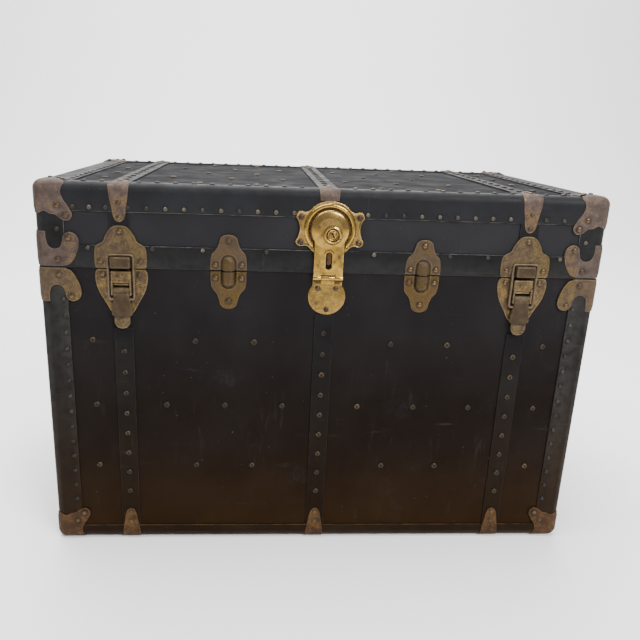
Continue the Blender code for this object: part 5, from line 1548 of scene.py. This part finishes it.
def make_hasp_plate():
    """The lower plate, with the middle knuckle and the hasp's pin."""
    outline = [(-u, -v) for u, v in keyhole_outline(LOWER_RADIUS, HASP_HALF, -LOWER_NECK)]
    rivets = ((-0.0155, 0.471), (0.014, 0.471), (0.0, 0.435))
    stains = ((-0.0166, -0.0113, 0.0042, 1.0), (-0.0215, -0.0040, 0.0026, 0.85),
              (0.0100, 0.0060, 0.0090, 0.45))

    def lift(u, v, depth):
        return rounded_rim(depth, PLATE, 0.0013) + 0.0004 * step(0.002, 0.005, depth)

    def dirt_and_shade(u, v):
        dull = np.full(len(u), 0.50)
        return np.max((round_rivets(u, v + LOWER_Z, rivets), stained(u, v, stains), dull), axis=0)
    work = Workpiece()
    work.add_plate([outline], on_wall(LOCK_X, LOWER_Z, GAP), lift, FINE_STEP, grime=dirt_and_shade)
    # the stem's upper part, seen through the hasp's notch, is dark steel: the stem's own dull steel and
    # painted shade in the notch
    for z, finish in (((HASP_Z - KNUCKLE_STEM, HASP_Z), 0), ((HASP_Z - 0.001, RIM_Z - GAP), 1)):
        out = (GAP + PLATE / 2, HASP_BACK - GAP)
        work.add_block(*on_front(wide(KNUCKLE_MIDDLE, LOCK_X), z, out), 0.0009, 3, finish)
    for half, *shape in ((KNUCKLE_MIDDLE, KNUCKLE), (HASP_HALF, HASP_PIN, PIN_ROUND, 16, 1)):
        work.add_pin(wide(half, LOCK_X), -HALF_D - HASP_OUT, HASP_Z, *shape)
    work.hand_over("hasp_plate_pressing", (BRASS, DARK_STEEL), "trunk_body", "hasp_plate", "polished_brass")
    drive_rivets("trunk_body", LOCK_X, rivets, PLATE_OUT + 0.0002, "lock")


# Rear hinges

def make_leaf(name, body, x, seat, knuckles, up, material):
    """A hinge leaf above or below the seam, with its knuckles as ranges along the pin."""
    near = HINGE_KNUCKLE + RUN
    outline = mirror_half(LEAF_HALF, 2 * HINGE_HALF, up * (HINGE_LEAF - near), up * near)
    work = Workpiece()
    work.add_plate([outline], on_wall(x, SEAM_Z, seat, 1),
                   lambda u, v, depth: rounded_rim(depth, HINGE_THICK, PLATE_ROUND), 0.0030)
    for start, stop in knuckles:
        ends = (x + start, x + stop)
        work.add_block(ends, (HALF_D + seat + HINGE_THICK / 3, HINGE_Y), span(up, 0.0, 2 * near, SEAM_Z),
                       0.0006, 2)
        work.add_pin(ends, HINGE_Y, SEAM_Z, HINGE_KNUCKLE)
    work.hand_over(name + "_stamping", (material,), body, name)
    rivets = [(u, SEAM_Z + up * v) for u, v in ((-0.020, 0.020), (0.020, 0.020), (0.0, 0.030), (0.0, 0.047))]
    drive_rivets(body, x, rivets, seat + HINGE_THICK, side=1)


def make_hinges():
    half, third = HINGE_HALF, HINGE_HALF / 3
    outer = ((-half, -third - RUN), (third + RUN, half))
    for hand, x in (("left", -HINGE_X), ("right", HINGE_X)):
        make_leaf(hand + "_hinge_body_leaf", "trunk_body", x, GAP, outer, -1, GOLD_STEEL)
        make_leaf(hand + "_hinge_lid_leaf", "lid", x, METAL_SEAT, ((-third, third),), 1, MAUVE_STEEL)


# End handles

def make_strap(hand, side, middle, mouth):
    """A crowned leather strap with two rows of stitches."""
    out, rise = STRAP_BOW[0] * mouth, STRAP_BOW[1] * HANDLE_RISE
    route = smooth_line(((-HANDLE_HALF_SPAN, 0, "S"), (-mouth, 0, "S"), (-out, rise), (0, HANDLE_RISE),
                         (out, rise), (mouth, 0, "S"), (HANDLE_HALF_SPAN, 0, "S")), 12)
    route = [np.array(p) for p in route]
    around = 28
    points, faces, seam = [], [], []
    for i, spot in enumerate(route):
        way = route[min(i + 1, len(route) - 1)] - route[max(i - 1, 0)]
        way = way / np.linalg.norm(way)
        outward = np.array((-way[1], way[0]))
        for k in range(around):
            angle = 2 * math.pi * k / around
            across = math.copysign(abs(math.cos(angle)) ** 0.28, math.cos(angle)) * STRAP_HALF
            thick = math.copysign(abs(math.sin(angle)) ** 0.55, math.sin(angle)) * STRAP_THICK / 2
            y, x = spot + outward * thick
            points.append((side * (middle + x), y, HANDLE_Z + across))
        seam.append((spot + outward * (STRAP_THICK / 2 - 0.0006), way))
    for first in range(0, (len(route) - 1) * around, around):
        for k in range(around):
            j = (k + 1) % around
            faces.append((first + k, first + j, first + around + j, first + around + k))
    faces.append(tuple(range(around)))
    faces.append(tuple(range(len(points) - around, len(points))))
    work = Workpiece()
    work.add(points, faces)
    work.hand_over(hand + "_handle_strap", (LEATHER,), "trunk_body", hand + "_handle", "brown_leather")
    length = np.cumsum([0.0] + [float(np.linalg.norm(b - a)) for a, b in zip(route, route[1:])])
    spots, ways = [], []
    for far in np.arange(CAP_LENGTH + 0.004, length[-1] - CAP_LENGTH - 0.003, 0.0052):
        i = min(int(np.searchsorted(length, far)), len(route) - 1)
        share = (far - length[i - 1]) / (length[i] - length[i - 1])
        y, x = seam[i - 1][0] * (1 - share) + seam[i][0] * share
        way = seam[i][1]
        for row in wide(0.0108):
            spots.append((side * (middle + x), y, HANDLE_Z + row))
            ways.append((side * way[1], way[0], 0.0))
    stitches = grow(hand + "_handle_stitches", HEAD_TREE, spots, outs=ways, Radius=0.00055, Height=0.0017,
                    Dimple=0.0, Spread=0.08, Seed=NAIL_SEED, Finish=THREAD)
    settle(stitches, "trunk_body")


def make_handle(hand, side):
    """A leather strap in two riveted steel caps on one plate."""
    seat = HALF_L + GAP
    floor = seat + METAL
    mouth = HANDLE_HALF_SPAN - CAP_LENGTH
    make_strap(hand, side, floor + GAP + STRAP_THICK / 2, mouth)
    reach = HANDLE_HALF_SPAN + CAP_WALL + GAP
    cap_out = floor + 2 * GAP + STRAP_THICK
    inside = STRAP_HALF + GAP
    work = Workpiece()
    work.add_block(span(side, seat, floor), wide(reach), wide(STRAP_HALF, HANDLE_Z), 0.0004, 2)
    piece = work.to_object(hand + "_handle_caps", (OLIVE_STEEL,))
    for way in (-1, 1):
        cap = block_object(span(side, seat + METAL / 2, cap_out + CAP_WALL),
                           span(way, mouth + CAP_WALL, reach), wide(inside + CAP_WALL, HANDLE_Z), 0.0023, 4)
        carve(cap, block_object(span(side, floor, cap_out), span(way, 0, HANDLE_HALF_SPAN + GAP),
                                wide(inside, HANDLE_Z)))
        carve(piece, cap, "UNION")
        for far in (0.010, 0.026):
            drive_end("trunk_body", "lock", way * (HANDLE_HALF_SPAN - far), HANDLE_Z,
                      cap_out - HALF_L + CAP_WALL, side)
    settle(piece, "trunk_body", hand + "_handle_plate")


# Tray

def ragged(half, depth, seed):
    """A strip to each side of nought whose lower edge is torn about a depth below its upper one."""
    dice = random.Random(seed)
    count = max(2, int(2 * half / 0.006))
    torn = [(half - 2 * half * i / count, -depth + dice.uniform(-0.0022, 0.0022)) for i in range(count + 1)]
    return [(-half, 0.0), (half, 0.0)] + torn


def make_tray():
    """The lift-out tray, with torn cloth tape round its rim, inside and out."""
    def thin(u, v, depth):
        return 0.00025 + 0.00015 * step(0, 0.0008, depth)
    half_l, half_d = HALF_L - BOARD - TRAY_CLEAR, HALF_D - BOARD - TRAY_CLEAR
    work = Workpiece()
    work.add_block(wide(half_l), wide(half_d), (TRAY_LOW, TRAY_LOW + TRAY_FLOOR), 0.0006, 2)
    add_walls(work, half_l, half_d, TRAY_WALL, 0.0, (TRAY_LOW + 0.001, TRAY_TOP), 0.0012, 3)
    for turned, (half, far) in enumerate(((half_l, half_d), (half_d, half_l))):
        for side in (-1, 1):
            for inside in (0, 1):
                back = inside * TRAY_WALL
                tape = ragged(half - 0.001 - back, 0.024 - 0.006 * inside, 10 * turned + 2 * side + inside)
                place = on_plane(0.0, TRAY_TOP - 0.0008, side * (far - back), side * (1 - 2 * inside), turned)
                work.add_plate([tape], place, thin, 0.010, 1)
    work.hand_over("tray_box", (SLATE_PAPER, GREY_TAPE), "lift_out_tray", "tray", "tray_board")


# Rows of nails on the bindings and rivets on the panels

def clear_of(x, places, half):
    return all(abs(x - place) > half for place in places)


def drive_rows():
    nail_gap = 0.0287
    rim_row, valance_row, corner_row = 0.592, 0.5285, 0.557
    corner_x, corner_y = 0.424, 0.232
    strip_x, strip_y = 0.4205, 0.2305
    top_x, top_y = 0.4105, 0.2425
    ends_y = spaced(-0.205, 0.205, nail_gap)
    lid_runs = ((-0.398, -0.348), (-0.314, -0.055), (0.062, 0.294), (0.353, 0.383))
    rim_nails = [x for low, high in lid_runs for x in spaced(low, high, nail_gap)]
    valance_nails = (-0.378, -0.278, -0.199, -0.098, 0.076, 0.201, 0.264, 0.385)
    front_rivets = ((0.376, (0.379, 0.212, 0.115)), (0.147, (0.379, 0.212, 0.115)),
                    (0.261, (0.378, 0.261, 0.163, 0.065)))
    end_rivets = ((0.430, (-0.165, 0.165, -0.055, 0.055)), (0.261, (-0.165, 0.165, -0.055, 0.055)),
                  (0.147, (-0.110, 0.110, 0.0)))
    for side in (-1, 1):
        for x in rim_nails:
            drive_front("lid", "nail", x, rim_row, FIBRE_OUT, side)
        fittings = [-BAND_X, BAND_X, -DOWEL_X, DOWEL_X] if side < 0 else [-HINGE_X, HINGE_X]
        for x in valance_nails:
            if clear_of(x, fittings, 0.034) and (side > 0 or abs(x - LOCK_X) > 0.055):
                drive_front("lid", "nail", x, valance_row, FIBRE_OUT, side)
        for hand in (-1, 1):
            drive_front("lid", "nail", hand * corner_x, corner_row, FIBRE_OUT, side)
            drive_end("lid", "nail", side * corner_y, corner_row, FIBRE_OUT, hand)
            for z in spaced(0.081, 0.4437, 0.0279):
                drive_front("trunk_body", "strip", hand * strip_x, z, FIBRE_OUT, side)
                drive_end("trunk_body", "strip", side * strip_y, z, FIBRE_OUT, hand)
        for z, places in front_rivets:
            for x in places:
                drive_front("trunk_body", "field", -x, z, 0.0, side)
                drive_front("trunk_body", "field", x, z, 0.0, side)
        for y in ends_y:
            drive_end("lid", "nail", y, rim_row + 0.0015, FIBRE_OUT, side)
        for y in (-0.165, -0.075, 0.015, 0.105, 0.175):
            drive_end("lid", "nail", y, valance_row, FIBRE_OUT, side)
        for z, places in end_rivets:
            for y in places:
                drive_end("trunk_body", "field", y, z, 0.0, side)
        for y in ends_y:
            drive_top("nail", side * top_x, y, FIBRE_OUT)
        for x in spaced(-0.385, 0.385, nail_gap):
            if clear_of(x, (-BAND_X, 0.0, BAND_X), 0.020):
                drive_top("nail", x, side * top_y, FIBRE_OUT)
    few, many = (-0.208, -0.115, 0.092, 0.188), (-0.262, -0.160, -0.068, 0.043, 0.136, 0.233)
    for y, places in ((-0.205, few), (-0.105, many), (0.0, few), (0.105, many), (0.205, few)):
        for x in places:
            drive_top("field", x, y, 0.0)
    for y in (-0.155, -0.05, 0.055, 0.160):
        for x in wide(0.370):
            drive_top("field", x, y, 0.0)


make_boards()
make_lining()
make_bindings()
make_bands()
make_edge_metal()
make_draw_bolts()
make_dowels()
make_lock_plate()
make_hasp()
make_plug()
make_slide()
make_hasp_plate()
make_hinges()
make_handle("left", -1)
make_handle("right", 1)
make_tray()
drive_rows()
make_heads()


# Studio

def make_floor():
    """A pale sweep: flat under the trunk and curved up behind it."""
    curve, half_width = 2.2, 7.0
    sweep = arc(curve, curve, curve, -math.pi / 2, math.pi / 2, 16)
    profile = [(-5.0, 0.0), *sweep, (2 * curve, 6.0)]
    points = [(x, y, z) for y, z in profile for x in wide(half_width)]
    faces = [(2 * i, 2 * i + 1, 2 * i + 3, 2 * i + 2) for i in range(len(profile) - 1)]
    work = Workpiece()
    work.add(points, faces)
    paper = new_finish("studio_paper", Roughness=0.9, Specular_IOR_Level=0.1)
    paper.give(Base_Color=paper.grain(2.0).blend((0.90, 0.90, 0.90), (0.94, 0.94, 0.94)))
    floor = work.to_object("studio_floor", (paper.material,))
    floor.data.shade_smooth()


def add_light(name, place, aim, size, power):
    data = bpy.data.lights.new(name, "AREA")
    data.shape = "RECTANGLE"
    data.size, data.size_y = size
    data.energy = power
    lamp = bpy.data.objects.new(name, data)
    lamp.location = place
    lamp.rotation_euler = (Vector(aim) - Vector(place)).to_track_quat("-Z", "Y").to_euler()
    bpy.context.scene.collection.objects.link(lamp)


def make_studio():
    make_floor()
    add_light("ceiling_softbox", (-0.5, 0.2, 3.2), (0.0, 0.0, 0.4), (3.4, 2.6), 230.0)
    add_light("front_softbox", (1.5, -2.5, 2.5), (0.0, 0.0, 0.45), (1.6, 1.0), 150.0)
    add_light("backdrop_softbox", (0.0, 2.2, 4.6), (0.0, 4.4, 1.6), (5.0, 1.6), 330.0)
    world = bpy.data.worlds.new("studio_world")
    world.use_nodes = True
    back = world.node_tree.nodes["Background"]
    back.inputs["Color"].default_value = (1.0, 1.0, 1.0, 1.0)
    back.inputs["Strength"].default_value = 0.58
    bpy.context.scene.world = world


def make_camera():
    data = bpy.data.cameras.new("studio_camera")
    data.sensor_width = 36.0
    data.lens = 37.60
    data.shift_x = 0.0323
    data.shift_y = 0.0080
    camera = bpy.data.objects.new("studio_camera", data)
    camera.location = (-0.116, -1.322, 0.733)
    camera.rotation_euler = [math.radians(a) for a in (72.9077, -2.1204, -3.4281)]
    bpy.context.scene.collection.objects.link(camera)
    bpy.context.scene.camera = camera


make_studio()
make_camera()
